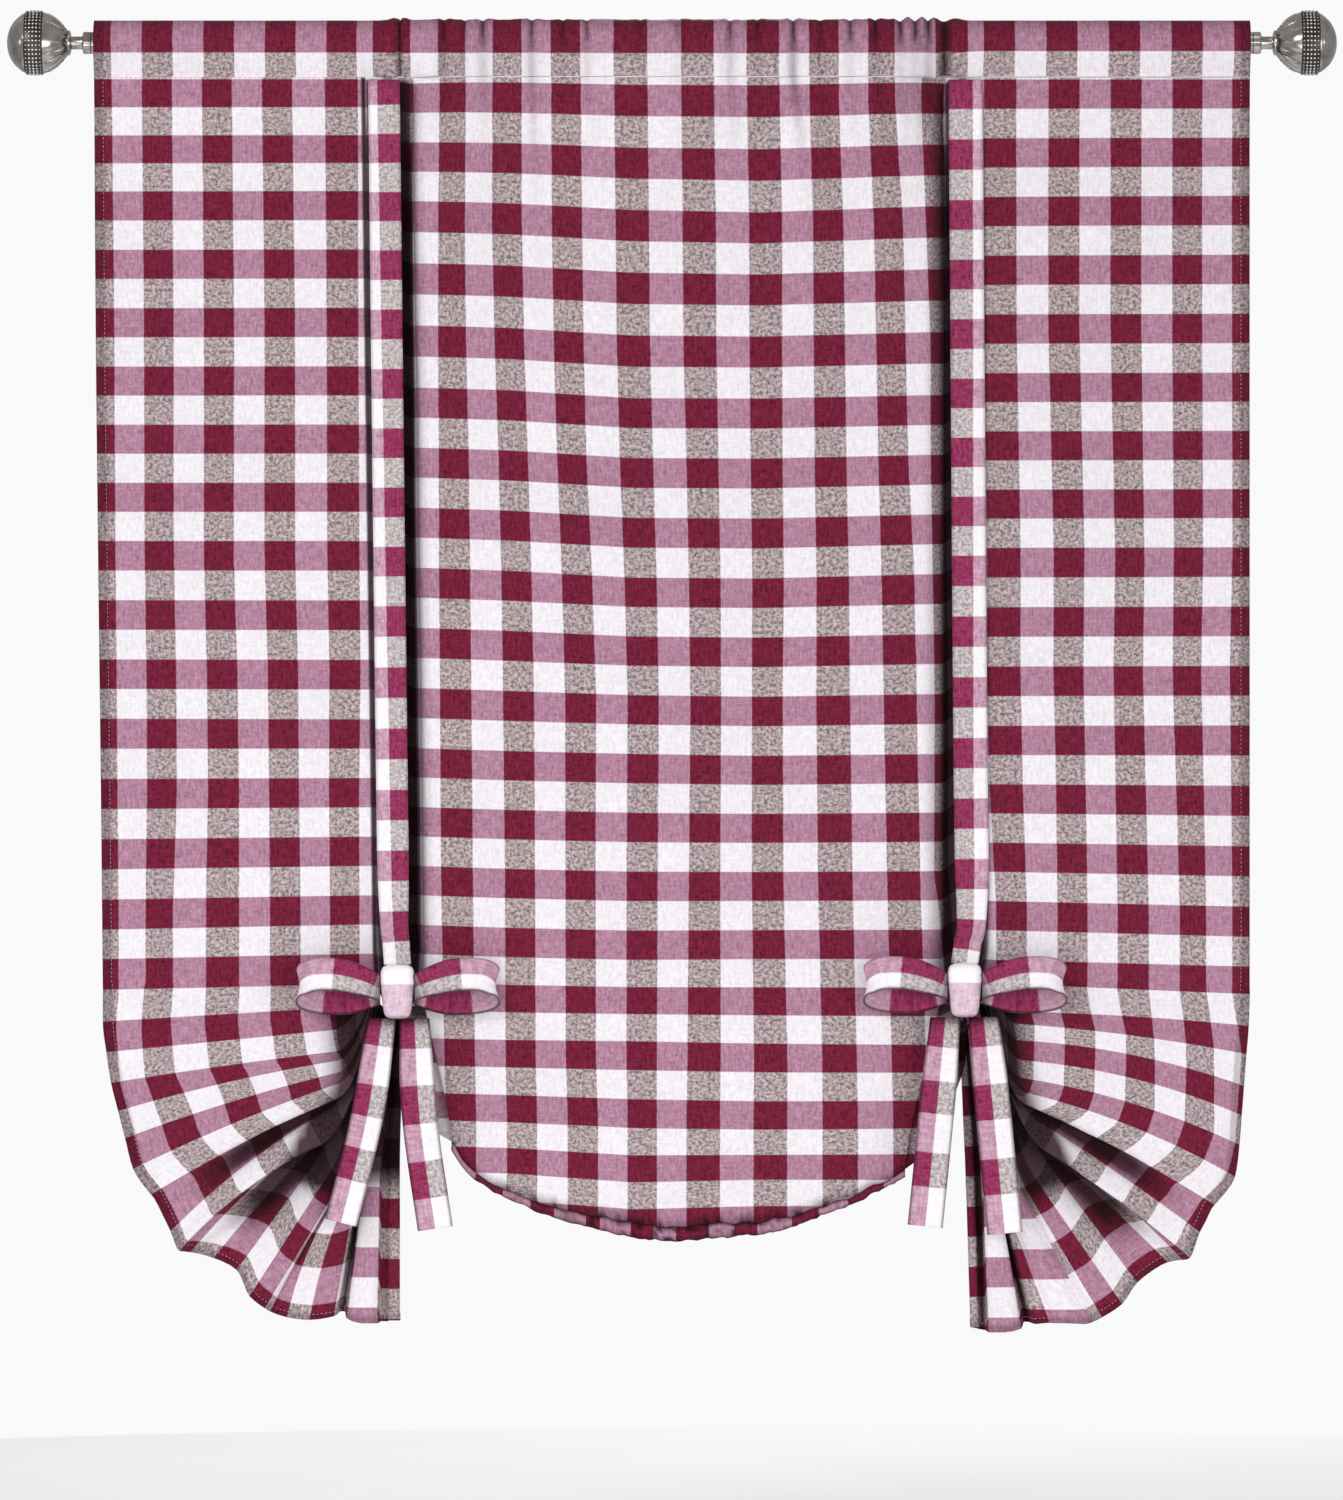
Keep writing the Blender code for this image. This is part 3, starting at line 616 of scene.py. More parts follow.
class Finish(Enum):
    """The finishes of the shade and its rod."""

    CLOTH = CheckedCotton(
        "shade_check",
        burgundy=Yarn("4C0619", "882345"),
        mauve=Yarn("936079", "C599AF"),
        taupe=Yarn("594E51", "D8C5C7"),
        white=Yarn("E0D9E0", "FBF6FB"),
    )
    STRAP = CheckedCotton(
        "strap_check",
        burgundy=Yarn("6C0F34", "AA4470"),
        mauve=Yarn("A6748C", "DEB8CA"),
        taupe=Yarn("8C8080", "E4D9DA"),
        white=Yarn("EEE6ED", "FFFDFF"),
    )
    KNOT = CheckedCotton(
        "knot_check",
        burgundy=Yarn("6C0F34", "AA4470"),
        mauve=Yarn("C3A2B4", "EED9E4"),
        taupe=Yarn("A4969C", "E8DCE0"),
        white=Yarn("F2ECF1", "FFFEFF"),
    )
    THREAD = CottonThread("pale_thread", low="B98AA0", high="E6CCD9")
    ROD = Nickel("brushed_nickel", "B2ADA7", "6E6964", 0.22, 0.5)
    FINIAL = Nickel("pewter_nickel", "C2BDB7", "5E5954", 0.15, 0.7)
    BAND = Nickel("dark_nickel", "57514E", "2A2625", 0.3, 0.8, rubbed_bright=26.9)


class Finishes:
    """Each finish's material, made once when it is first asked for."""

    def __init__(self) -> None:
        """Start with none made."""
        self._made: dict[Finish, bpy.types.Material] = {}

    def dress(self, thing: bpy.types.Object, finish: Finish) -> None:
        """Put a finish on an object, in place of any other."""
        if finish not in self._made:
            self._made[finish] = finish.value.build()
        thing.data.materials.clear()
        thing.data.materials.append(self._made[finish])


def settle(thing: bpy.types.Object, slot: str, *nodes: str) -> None:
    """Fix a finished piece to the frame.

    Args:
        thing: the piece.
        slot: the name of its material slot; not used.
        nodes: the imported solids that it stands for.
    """
    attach(thing, BODY)
    if nodes:
        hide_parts(*nodes)
    LOG.info("%s: %d faces", thing.name, len(thing.data.polygons))


@dataclass
class Stitching:
    """A run of separate stitches along a line on the cloth."""

    name: str
    length: float = 2.0
    gap: float = 1.4
    radius: float = 0.2
    sides: int = 5

    def build(self, lines: Sequence[Seam], lift: float) -> bpy.types.Object:
        """Sew along some lines.

        Args:
            lines: for each line its points, each with the direction away from the cloth.
            lift: how far the thread's middle lies from those points.

        Returns:
            The stitches as one object.
        """
        points: list[Vector] = []
        faces: list[tuple[int, ...]] = []
        for line in lines:
            for middle, out, along in self._places(line):
                self._add(points, faces, middle + out * lift, out, along)
        return mesh_piece(self.name, points, faces, closed=True)

    def _places(self, line: Seam) -> list[tuple[Vector, Vector, Vector]]:
        """Where each stitch lies: its middle, the way out of the cloth and its own direction."""
        reached = [0.0]
        for (here, _), (there, _) in zip(line, line[1:]):
            reached.append(reached[-1] + (there - here).length)
        pitch = self.length + self.gap
        places = []
        segment = 0
        for index in range(int(reached[-1] / pitch)):
            wanted = (index + 0.5) * pitch
            while segment < len(line) - 2 and reached[segment + 1] < wanted:
                segment += 1
            span = max(reached[segment + 1] - reached[segment], 1e-6)
            share = (wanted - reached[segment]) / span
            (here, out), (there, far_out) = line[segment], line[segment + 1]
            places.append((mix(here, there, share), mix(out, far_out, share).normalized(),
                           (there - here).normalized()))
        return places

    def _add(
        self, points: list[Vector], faces: list[tuple[int, ...]], middle: Vector, out: Vector,
        along: Vector,
    ) -> None:
        """Add one stitch: a short thread that dips into the cloth at both ends."""
        side = along.cross(out).normalized()
        start = len(points)
        half = self.length / 2.0
        points.append(middle - along * half - out * self.radius)
        for place in (-0.6, 0.6):
            for step in range(self.sides):
                turn = math.tau * step / self.sides
                ring = side * math.cos(turn) + out * math.sin(turn)
                points.append(middle + along * (half * place) + ring * self.radius)
        points.append(middle + along * half - out * self.radius)
        last = len(points) - 1
        for step in range(self.sides):
            after = (step + 1) % self.sides
            a, b = start + 1 + step, start + 1 + after
            c, d = a + self.sides, b + self.sides
            faces.extend(((start, b, a), (a, b, d, c), (c, d, last)))


class Lay(Enum):
    """Which lay of the check a part of the sheet shows."""

    POCKET = "pocket"
    MAIN = "main"
    PLEAT = "pleat"


@dataclass
class Column:
    """One line of points down the cloth, with its cloth coordinates in each lay."""

    patch: str
    points: list[Vector]
    cells: dict[Lay, list[Point]]
    share: float


@dataclass
class ShadeCloth:
    """The sheet: rod pocket, side panels, centre, channels, fans and hanging pleats."""

    thickness: float = 0.9
    half_width: float = 491.0
    selvedge_drift: float = 8.0
    centre_step: float = 5.2
    channel_depth: float = 21.0
    channel_full_z: float = -160.0
    channel_drawn_in: float = 0.7
    pocket_gather: float = 1.1
    billow: float = 13.0
    # Lower edge of the centre: x, z
    scallop: tuple[Point, ...] = (
        (-187.0, -939.5), (-180.0, -953.0), (-171.7, -963.5), (-145.4, -979.0), (-116.5, -992.0),
        (-83.3, -1002.5), (-51.0, -1010.5), (-17.9, -1016.6), (2.0, -1017.8), (21.3, -1016.5),
        (47.6, -1014.0), (79.9, -1011.5), (99.5, -1006.5), (129.2, -995.4), (161.5, -982.6),
        (187.9, -969.0), (198.0, -963.5),
    )
    scallop_steps: int = 20
    # The hem rolled to the front of the scallop: how far forward, share of its height
    scallop_roll: tuple[Point, ...] = (
        (-0.8, 1.0), (1.6, 0.93), (2.8, 0.74), (3.2, 0.46), (2.6, 0.17), (0.9, 0.0), (-0.9, 0.04),
        (-1.6, 0.4),
    )
    scallop_hem: Point = (5.0, 7.0)
    # Bunch of each fan behind its knot: radius, its middle out and up from the knot, y
    bunch: tuple[float, float, float, float] = (25.0, -3.0, 5.0, 9.0)
    flat_size: Point = (1.067, 1.42)

    # Section of a channel: share of the way across, share of its depth
    channel_section: tuple[Point, ...] = (
        (0.02, 0.22), (0.05, 0.48), (0.09, 0.68), (0.15, 0.87), (0.25, 0.97), (0.5, 1.0),
        (0.75, 0.97), (0.85, 0.87), (0.91, 0.68), (0.95, 0.48), (0.98, 0.22),
    )
    # Soft folds of the centre: x at the top and the bottom, z where each ends, height, half-width
    centre_folds: Table = (
        (-178.0, -170.0, -420.0, 3.5, 20.0),
        (-95.0, -90.0, -300.0, 2.5, 26.0),
        (20.0, 24.0, -700.0, 3.0, 48.0),
        (113.0, 110.0, -480.0, 4.0, 16.0),
        (167.0, 198.0, -330.0, 6.0, 12.0),
        (214.0, 219.0, -900.0, 3.0, 10.0),
    )
    # Creases of the gathered pocket: x, half-width, depth, share of it left at the stitches, how
    # far down each runs below them, sideways drift there
    creases: Table = (
        (-231.2, 1.5, 3.2, 0.9, 1.0, 0.0),
        (-193.8, 2.0, 1.6, 0.35, 26.0, 2.0),
        (-176.0, 1.6, 1.2, 0.25, 18.0, 2.0),
        (-160.7, 2.2, 2.2, 0.3, 30.0, 2.0),
        (-119.0, 2.0, 2.0, 0.45, 60.0, 2.0),
        (-92.7, 1.7, 1.4, 0.2, 20.0, 0.0),
        (-72.3, 1.8, 1.7, 0.25, 26.0, 2.0),
        (-27.0, 1.7, 0.9, 0.2, 22.0, 0.0),
        (5.1, 2.0, 1.1, 0.2, 30.0, 2.0),
        (49.3, 1.9, 1.9, 0.3, 34.0, 3.0),
        (72.3, 1.7, 1.5, 0.25, 22.0, 0.0),
        (102.9, 2.1, 2.4, 0.55, 48.0, 6.0),
        (126.0, 1.8, 1.2, 0.4, 70.0, 8.0),
        (151.3, 2.0, 2.0, 0.2, 40.0, 3.0),
        (172.6, 1.9, 2.2, 0.25, 60.0, 16.0),
        (193.8, 2.3, 3.2, 0.25, 60.0, 9.0),
        (206.6, 2.3, 3.4, 0.25, 60.0, 6.0),
        (217.5, 2.2, 3.2, 0.4, 50.0, -4.0),
        (231.4, 4.0, 3.4, 0.95, 1.0, 0.0),
    )
    # Lines of equal row over the hanging cloth: places across it, then each row and its z there
    row_places: tuple[float, ...] = (
        -491.3, -266.9, -252.0, -221.8, -137.7, -33.1, 74.8, 229.5, 266.1, 491.3,
    )
    row_heights: Table = (
        (0, 18.3, 18.3, 18.3, 19.6, 19.6, 17.8, 17.8, 19.6, 18.3, 18.3),
        (1, -9.4, -9.4, -9.4, -9.6, -9.6, -9.8, -9.8, -9.3, -8.1, -8.1),
        (2, -31.0, -31.0, -31.0, -34.4, -34.2, -36.2, -36.6, -33.8, -31.2, -31.2),
        (6, -126.2, -125.8, -125.8, -134.3, -136.3, -142.0, -144.2, -138.5, -130.9, -129.8),
        (12, -275.1, -274.9, -274.9, -292.8, -295.3, -302.1, -302.4, -299.2, -280.7, -280.3),
        (18, -423.3, -423.3, -423.3, -445.8, -448.7, -454.6, -455.3, -451.3, -429.2, -428.6),
        (24, -574.3, -574.9, -574.9, -599.2, -601.9, -604.3, -606.0, -604.4, -580.5, -580.0),
        (31, -753.9, -749.5, -749.5, -774.4, -777.0, -779.3, -778.5, -778.6, -753.9, -759.9),
        (34, -828.8, -823.6, -823.6, -845.8, -847.2, -848.1, -850.1, -851.7, -829.6, -835.5),
        (37, -903.5, -898.4, -898.4, -915.4, -917.3, -921.9, -923.6, -922.7, -905.2, -911.2),
        (39, -953.7, -948.6, -948.6, -958.8, -960.6, -968.0, -965.6, -966.4, -955.4, -961.4),
        (
            42, -1028.5, -1023.4, -1023.4, -1026.0, -1027.6, -1036.1, -1032.8, -1032.8, -1030.2,
            -1036.1,
        ),
    )
    # Lines of equal column on the centre: z, then x of each column that the first row names
    middle_columns: Table = (
        (0.0, 12.5, 15.5, 18.5, 21.5, 24.5, 27.5, 28.5, 29.5, 30.5),
        (-46.8, -219.8, -152.7, -77.4, 7.9, 91.6, 166.8, 189.3, 211.8, 232.9),
        (-152.2, -221.4, -153.2, -76.5, 9.0, 93.8, 171.6, 196.3, 215.7, 232.9),
        (-252.4, -222.7, -151.0, -75.2, 9.7, 93.8, 173.6, 198.6, 219.6, 233.8),
        (-350.2, -223.5, -147.4, -72.8, 12.1, 94.0, 175.3, 200.9, 219.9, 233.8),
        (-456.4, -224.4, -144.9, -67.7, 14.4, 95.1, 178.1, 206.4, 221.7, 234.6),
        (-558.4, -224.0, -143.5, -64.3, 15.6, 94.0, 179.9, 208.3, 223.2, 235.4),
        (-707.2, -223.5, -141.8, -64.9, 14.3, 94.5, 182.7, 211.2, 222.7, 235.4),
        (-864.4, -219.3, -141.2, -64.5, 13.1, 98.0, 186.5, 215.9, 244.8, 273.7),
        (-912.9, -218.4, -140.2, -62.7, 12.2, 97.8, 188.0, 217.6, 247.3, 277.1),
    )
    # Columns of the pocket, where the pleats behind the straps are sewn shut: x, column
    pocket_columns: tuple[Point, ...] = (
        (-491.0, -0.07), (-476.0, 0.5), (-266.9, 8.5), (-255.0, 9.5), (-221.9, 10.5),
        (-152.2, 13.5), (-78.2, 16.5), (7.7, 19.5), (91.0, 22.5), (166.6, 25.5), (188.7, 26.5),
        (223.6, 27.5), (251.6, 28.5), (264.4, 29.5), (476.9, 37.5), (491.0, 38.04),
    )
    total_columns: float = 42.0
    # Folds of the fans behind a depth are set deeper by a factor
    valley_from: float = -4.0
    valley_gain: float = 1.7
    # Share of the light lost on the side hems and inside the channels, and the most of it anywhere
    hem_loss: float = 0.36
    channel_loss: float = 0.95
    darkest: float = 0.95
    # Light lost on each row of the scallop's rolled hem, from the row above it
    scallop_losses: tuple[float, ...] = (0.4, 0.95, 0.45, 0.0, 0.0, 0.35, 0.85, 0.85, 0.85)
    # Rows of the pocket: its turned-in edge, a quarter of the way round the rod, the way from the
    # rod to the stitches, and the row behind the rod's top at which the gathers start
    edge_rows: int = 6
    quarter_rows: int = 11
    front_rows: int = 4
    gather_row: int = 13
    # Forward swell of the cloth under the stitches: on the panels, on the gathered centre
    pocket_swell: Point = (4.0, 10.0)
    # Cloth of the channels below the knots: rows, row of the check and z on the left
    tucked_steps: int = 12
    tucked_rows: tuple[Point, ...] = (
        (32.0, -795.0), (33.0, -819.0), (34.0, -844.0), (35.0, -867.0), (36.0, -891.6),
        (37.0, -913.8), (38.0, -940.0),
    )

    def __post_init__(self) -> None:
        """Work out the rows and columns that the whole sheet shares."""
        # Close rows below the stitches, then even ones, then close ones behind the bows
        self.upper_z = [-29.8, -32.6, -35.6, -39.0, -43.0, -48.0]
        self.upper_z += [mix(-54.0, BOW_TOP_Z, i / 97) for i in range(98)]
        self.upper_z += [-777.5, -784.0, -790.5, DRAWN_IN_Z]
        self.panel_shares = [0.0, 0.01, 0.022, 0.033, 0.043]
        self.panel_shares += [mix(0.064, 1.0, i / 30) for i in range(30)] + [0.984, 0.991, 1.0]
        self.fans = {half.name: self._finer_fan(half) for half in (LEFT, RIGHT)}
        self.rows = np.array(self.row_heights)
        self.ridge_row = self.edge_rows + self.quarter_rows
        self.pocket_rows = self.ridge_row + self.quarter_rows + 1 + self.front_rows
        self.common_rows = self.pocket_rows + len(self.upper_z)
        self.roll_row = self.common_rows + self.scallop_steps

    def _finer_fan(self, half: Half) -> np.ndarray:
        """Cut the gaps between fold lines into steps of about 7 mm and set the valleys deeper."""
        steps = []
        for here, there in zip(half.fan, half.fan[1:]):
            apart = max(math.dist(here[:3], there[:3]), math.dist(here[3:6], there[3:6]))
            steps.append(max(2, min(4, round(apart / 6.5))))
        deeper = np.array(half.fan, float)
        for column, share in ((2, 0.5), (5, 1.0)):
            depths = deeper[: half.first_pleat, column]
            beyond = np.maximum(depths - self.valley_from, 0.0)
            depths += beyond * (self.valley_gain - 1.0) * share
        return fill_in(deeper, steps)

    def lip_x(self, name: str, z: float) -> float:
        """X of a channel's lip at a height."""
        pocket, bow, drawn_in = LIPS[name]
        if z < BOW_TOP_Z:
            return mix(bow, drawn_in, (z - BOW_TOP_Z) / (DRAWN_IN_Z - BOW_TOP_Z))
        return mix(pocket, bow, z / BOW_TOP_Z)

    def selvedge_x(self, half: Half, z: float) -> float:
        """X of the outer edge of a side panel, of which the left one drifts inwards."""
        drift = self.selvedge_drift * ease(-z / 1000.0)
        return half.outwards * (self.half_width - (drift if half is LEFT else 0.0))

    def centre_relief(self, x: float, z: float, share: float) -> float:
        """Depth of the centre panel, which stands forward in soft folds."""
        forward = 0.0
        for top_x, low_x, end_z, height, half in self.centre_folds:
            down = z / end_z
            if down < 1.0:
                fold = height * bump_at(x, mix(top_x, low_x, down), half) * ease(1.6 * (1.0 - down))
                forward += fold * ease((STITCH_Z - z) / 40.0)
        swell = math.sin(math.pi * share) ** 0.7 if 0.0 < share < 1.0 else 0.0
        forward += self.billow * swell * ease((-z - 250.0) / 650.0)
        forward += self.swell_at(x) * math.exp(-(((STITCH_Z - z) / 42.0) ** 2))
        settled = min(1.0, 12.0 * share, 12.0 * (1.0 - share))
        return self.lip_roll(x, z) - forward * settled

    def swell_at(self, x: float) -> float:
        """How far the cloth stands forward of its stitches at one x."""
        left, right = LIPS["left_centre"][0], LIPS["right_centre"][0]
        inner = min(max(min(x - left, right - x) / 14.0, 0.0), 1.0)
        panel, centre = self.pocket_swell
        on_panel = x < LIPS["left_panel"][0] or x > LIPS["right_panel"][0]
        return mix(panel if on_panel else 0.0, centre, inner)

    def lip_roll(self, x: float, z: float) -> float:
        """How far the centre's two edges turn back into their channels."""
        back = 0.0
        for half in (LEFT, RIGHT):
            reach, deep = half.lip_roll
            inside = (self.lip_x(half.name + "_centre", z) - x) * half.outwards
            back += deep * max(0.0, 1.0 - max(0.0, inside) / reach) ** 2
        gone = ease((z - DRAWN_IN_Z) / 60.0 + 1.0)
        return back * gone * ease((STITCH_Z - z) / 20.0)

    def scallop_z(self, x: float) -> float:
        """Height of the centre's lower edge."""
        places, heights = zip(*self.scallop)
        steps = (-9.0, -4.5, 0.0, 4.5, 9.0)
        near = [float(np.interp(x + step, places, heights)) for step in steps]
        softened = min(1.0, (x - places[0]) / 20.0, (places[-1] - x) / 12.0)
        return mix(near[2], sum(near) / len(near), softened)

    def fan_point(self, half: Half, fold: Sequence[float], order: float, share: float) -> Vector:
        """A point of one fold line: share 0 on the cloth's edge, 1 in the bunch behind the knot."""
        out, down, depth, knee_out, knee_down, knee_depth, sag = fold[:7]
        knot_x, knot_z = KNOTS[half.name]
        radius, bunch_out, bunch_up, bunch_y = self.bunch

        def at(outwards: float, downwards: float, y: float) -> Vector:
            """A point by its distances from the knot."""
            return Vector((knot_x + half.outwards * outwards, y, knot_z - downwards))

        edge = at(out, down, depth)
        knee = at(knee_out, knee_down, knee_depth)
        run = knee - edge
        drop = Vector((run.z, 0.0, -run.x)) * (half.outwards / max(run.length, 1.0))
        if share <= KNEE_SHARE:
            return bend(edge, (edge + knee) / 2.0 + drop * (2.0 * sag), knee, share / KNEE_SHARE)
        # The fold lines end side by side on an arc of the bunch
        turn = math.radians(mix(4.0, 92.0, order))
        bunch = at(
            bunch_out + radius * math.cos(turn), -bunch_up + radius * math.sin(turn),
            bunch_y + 0.35 * knee_depth,
        )
        handle = knee + run.normalized() * (bunch - knee).length * 0.22
        return bend(knee, handle, bunch, (share - KNEE_SHARE) / (1.0 - KNEE_SHARE))

    def row_of(self, x: float, z: float) -> float:
        """Row of the check at a place on the hanging cloth, counted from the top of the pocket."""
        places = self.row_places
        spot = 0
        while spot < len(places) - 2 and x > places[spot + 1]:
            spot += 1
        share = min(max((x - places[spot]) / (places[spot + 1] - places[spot]), 0.0), 1.0)
        heights = mix(self.rows[:, 1 + spot], self.rows[:, 2 + spot], share)
        return float(np.interp(-z, -heights, self.rows[:, 0]))

    def column_of(self, patch: str, x: float, z: float) -> float:
        """Column of the check at a place on the hanging cloth."""
        table = np.array(HALVES[patch].columns if patch in HALVES else self.middle_columns)
        edges = [float(np.interp(-z, -table[1:, 0], places)) for places in table[1:, 1:].T]
        return look_up(edges, table[0, 1:], x)

    def _cells_at(self, patch: str, points: Sequence[Vector]) -> list[Point]:
        """Column and row of the check at some points of the hanging cloth."""
        return [(self.column_of(patch, p.x, p.z), self.row_of(p.x, p.z)) for p in points]

    def fan_column(self, half: Half, row: float, reach: float) -> float:
        """Column of the check at a length along a fold line from the cloth's edge."""
        table = np.array(half.fan_columns)
        lengths = [float(np.interp(row, table[:, 0], ends)) for ends in table.T[1:]]
        column = look_up(lengths, [0.5 + k for k in range(len(lengths))], reach)
        return column if half is LEFT else self.total_columns - column

    def pocket_column(self, x: float) -> float:
        places, columns = zip(*self.pocket_columns)
        return float(np.interp(x, places, columns))

    def pocket_lift(self, x: float) -> float:
        """How far the gathered centre of the pocket stands off the rod."""
        left, right = LIPS["left_centre"][0], LIPS["right_centre"][0]
        beside = 1.0 + 2.0 * bump_at(x, -231.0, 10.0) + bump_at(x, 236.0, 9.0)
        if not left < x < right:
            return 0.15 * rough(x / 30.0, 3.0) + beside
        inner = min(1.0, (x - left) / 12.0, (right - x) / 12.0)
        lift = self.pocket_gather * (0.55 + 0.45 * math.sin(x / 7.3) * math.cos(x / 19.0))
        return inner * (1.3 + lift + 0.4 * rough(x / 5.0, 8.0)) + beside * (1.0 - inner)

    def crease(self, x: float, z: float) -> tuple[float, float]:
        """The gathers: narrow creases with ridges beside them, which fade at the stitches.

        Args:
            x, z: the place.

        Returns:
            How far the cloth stands off there, and how much light it loses.
        """
        height = loss = 0.0
        below = max(0.0, STITCH_Z - z)
        for middle, half, deep, left_over, reach, drift in self.creases:
            away = abs(x - (middle + drift * below / reach))
            if away > 9.0 * half or below > 4.0 * reach:
                continue
            # Whole on the rod's top and wider where less of it is left
            share = mix(1.0, left_over, ease((12.0 - z) / 24.0))
            wider = half * (1.0 + 1.6 * (1.0 - share))
            fade = share * math.exp(-((below / reach) ** 1.3))
            valley = bump_at(away, 0.0, wider)
            ridges = 0.5 * bump_at(away, 2.6 * wider, 1.4 * wider)
            height += deep * fade * (ridges - valley)
            # Painted shade along the crease's valley
            loss += min(self.darkest, 0.42 * deep) * fade * bump_at(away, 0.0, 1.15 * wider)
        return height, min(loss, 0.9)

    def pocket_line(self, x: float) -> tuple[list[Vector], list[Point]]:
        """The cloth's way round the rod at one x, from its turned-in back edge to the front."""
        half_turn = math.pi * POCKET_WRAP
        clear_of_facets = (ROD_RADIUS + FIT) / math.cos(half_turn / 10)
        radius = clear_of_facets + 1.05 + self.pocket_lift(x)
        section = [(0.95, -34.5), (0.95, -31.5), (0.8, STITCH_Z)]
        start = Vector((0.8, STITCH_Z))
        end = Vector((radius * math.sin(half_turn), radius * math.cos(half_turn)))
        for share in (0.2, 0.45, 0.72):
            sag = Vector((0.8, -0.5)) * math.sin(math.pi * share)
            section.append(tuple(mix(start, end, share) + sag))
        for step in range(2 * self.quarter_rows + 1):
            turn = half_turn * (1.0 - step / self.quarter_rows)
            section.append((radius * math.sin(turn), radius * math.cos(turn)))
        start = Vector((-0.35 - self.swell_at(x), STITCH_Z))
        end.x = -end.x
        for share in (0.72, 0.45, 0.2):
            sag = Vector((-0.3, -0.2)) * math.sin(math.pi * share)
            section.append(tuple(mix(start, end, share) + sag))
        section.append(tuple(start))
        points = [Vector((x, y, z)) for y, z in section]
        ridge = self.ridge_row
        cells = []
        column = self.pocket_column(x)
        reached = 0.0
        for index in range(ridge, -1, -1):
            cells.insert(0, (column, -reached / 25.0))
            if index:
                reached += (points[index] - points[index - 1]).length
        top_row = self.row_of(x, points[ridge].z)
        cells = [(u, v + top_row) for u, v in cells]
        for point in points[ridge + 1:]:
            cells.append((column, self.row_of(x, point.z)))
        return points, cells

    def upper_part(
        self, place_x: Callable[[float], float], depth: Callable[[float, float], float]
    ) -> tuple[list[Vector], list[Point], list[Point]]:
        """One column from the pocket's back edge to the bows.

        Args:
            place_x: x of the column at a height.
            depth: y of the column at a place below the stitches.

        Returns:
            Its points, the cells of its pocket, and the same cells in the main lay.
        """
        points, cells = self.pocket_line(place_x(STITCH_Z))
        main = [(column, self.row_of(p.x, p.z)) for p, (column, _) in zip(points, cells)]
        for z in self.upper_z:
            x = place_x(z)
            points.append(Vector((x, depth(x, z), z)))
        return points, cells, main

    def _column(
        self, patch: str, share: float, points: list[Vector], pocket: list[Point],
        main: list[Point], other: Optional[list[Point]] = None,
    ) -> Column:
        """Join a column's points and its cells in the three lays."""
        upper = pocket + main[self.pocket_rows:]
        cells = {Lay.POCKET: upper, Lay.MAIN: main, Lay.PLEAT: other or main}
        return Column(patch, points, cells, share)

    def panel(self, half: Half, share: float) -> Column:
        """One column of a side panel and its fan."""
        def across(z: float) -> float:
            """X of the column at a height."""
            return mix(self.selvedge_x(half, z), self.lip_x(half.name + "_panel", z), share)

        def depth(x: float, z: float) -> float:
            """Slow waves of the panel, still at both edges."""
            swell = math.sin(math.pi * share) * ease(-z / 400.0)
            below = self.swell_at(x) * math.exp(-(((STITCH_Z - z) / 30.0) ** 2))
            return swell * (2.2 * math.sin(7.5 * share + z / 260.0) - 1.0) - below

        points, pocket, main = self.upper_part(across, depth)
        main += self._cells_at(half.name, points[self.pocket_rows:])
        last = len(half.fan) - 1
        columns, zeros = zip(*half.pleat)
        rays = np.arange(half.first_pleat, last + 1)
        other = list(main)
        for fold in self.fans[half.name]:
            row, at = fold[7:]
            point = self.fan_point(half, fold, at / last, share)
            reach = self._reach(half, fold, at / last, share)
            main.append((self.fan_column(half, row, reach), float(row)))
            zero = float(np.interp(at, rays, zeros))
            other.append((float(np.interp(at, rays, columns)), (zero - point.z) / 25.6))
            points.append(point)
        return self._column(half.name, share, points, pocket, main, other)

    def _reach(self, half: Half, fold: Sequence[float], order: float, share: float) -> float:
        """Length of a fold line from the cloth's edge to a share of it, as seen from the front."""
        count = max(1, round(12 * share))
        reached, here = 0.0, self.fan_point(half, fold, order, 0.0)
        for step in range(1, count + 1):
            there = self.fan_point(half, fold, order, share * step / count)
            reached += math.hypot(there.x - here.x, there.z - here.z)
            here = there
        return reached

    def channel(self, half: Half, index: int) -> Column:
        """One column of the spare cloth behind a strap."""
        left = half is LEFT
        near, far = ("left_panel", "left_centre") if left else ("right_centre", "right_panel")
        across, depth_share = self.channel_section[index]
        to_centre = 1.0 - across if left else across

        def place_x(z: float) -> float:
            """X of the column at a height."""
            share = mix(half.pocket_spots[index], across, ease((STITCH_Z - z) / 7.0))
            return mix(self.lip_x(near, z), self.lip_x(far, z), share)

        def depth(_: float, z: float) -> float:
            """Depth of the column at a height."""
            deep = self.channel_depth * ease((z - STITCH_Z) / (self.channel_full_z - STITCH_Z))
            turned = half.lip_roll[1] * max(0.0, 1.0 - to_centre / 0.3) ** 2
            turned *= ease((STITCH_Z - z) / 20.0)
            return deep * depth_share * (self.channel_drawn_in if z < BOW_TOP_Z else 1.0) + turned

        points, pocket, main = self.upper_part(place_x, depth)
        near_patch, far_patch = ("left", "centre") if left else ("centre", "right")
        for point in points[self.pocket_rows:]:
            start = self.column_of(near_patch, self.lip_x(near, point.z), point.z)
            end = self.column_of(far_patch, self.lip_x(far, point.z), point.z)
            main.append((mix(start, end, across), self.row_of(point.x, point.z)))
        tucked = self._tucked(left, across, points[-1])
        rows, heights = zip(*self.tucked_rows)
        for point in tucked:
            column = self.column_of("centre", point.x, point.z)
            row = self.row_of(point.x, point.z)
            if left:
                # One column and its own rows, as the cloth is drawn aside here
                column = 12.02 + 0.017 * (point.x + 232.0)
                row = look_up([-z for z in heights], rows, -point.z)
            main.append((column, row))
        return self._column("channel", depth_share, points + tucked, pocket, main)

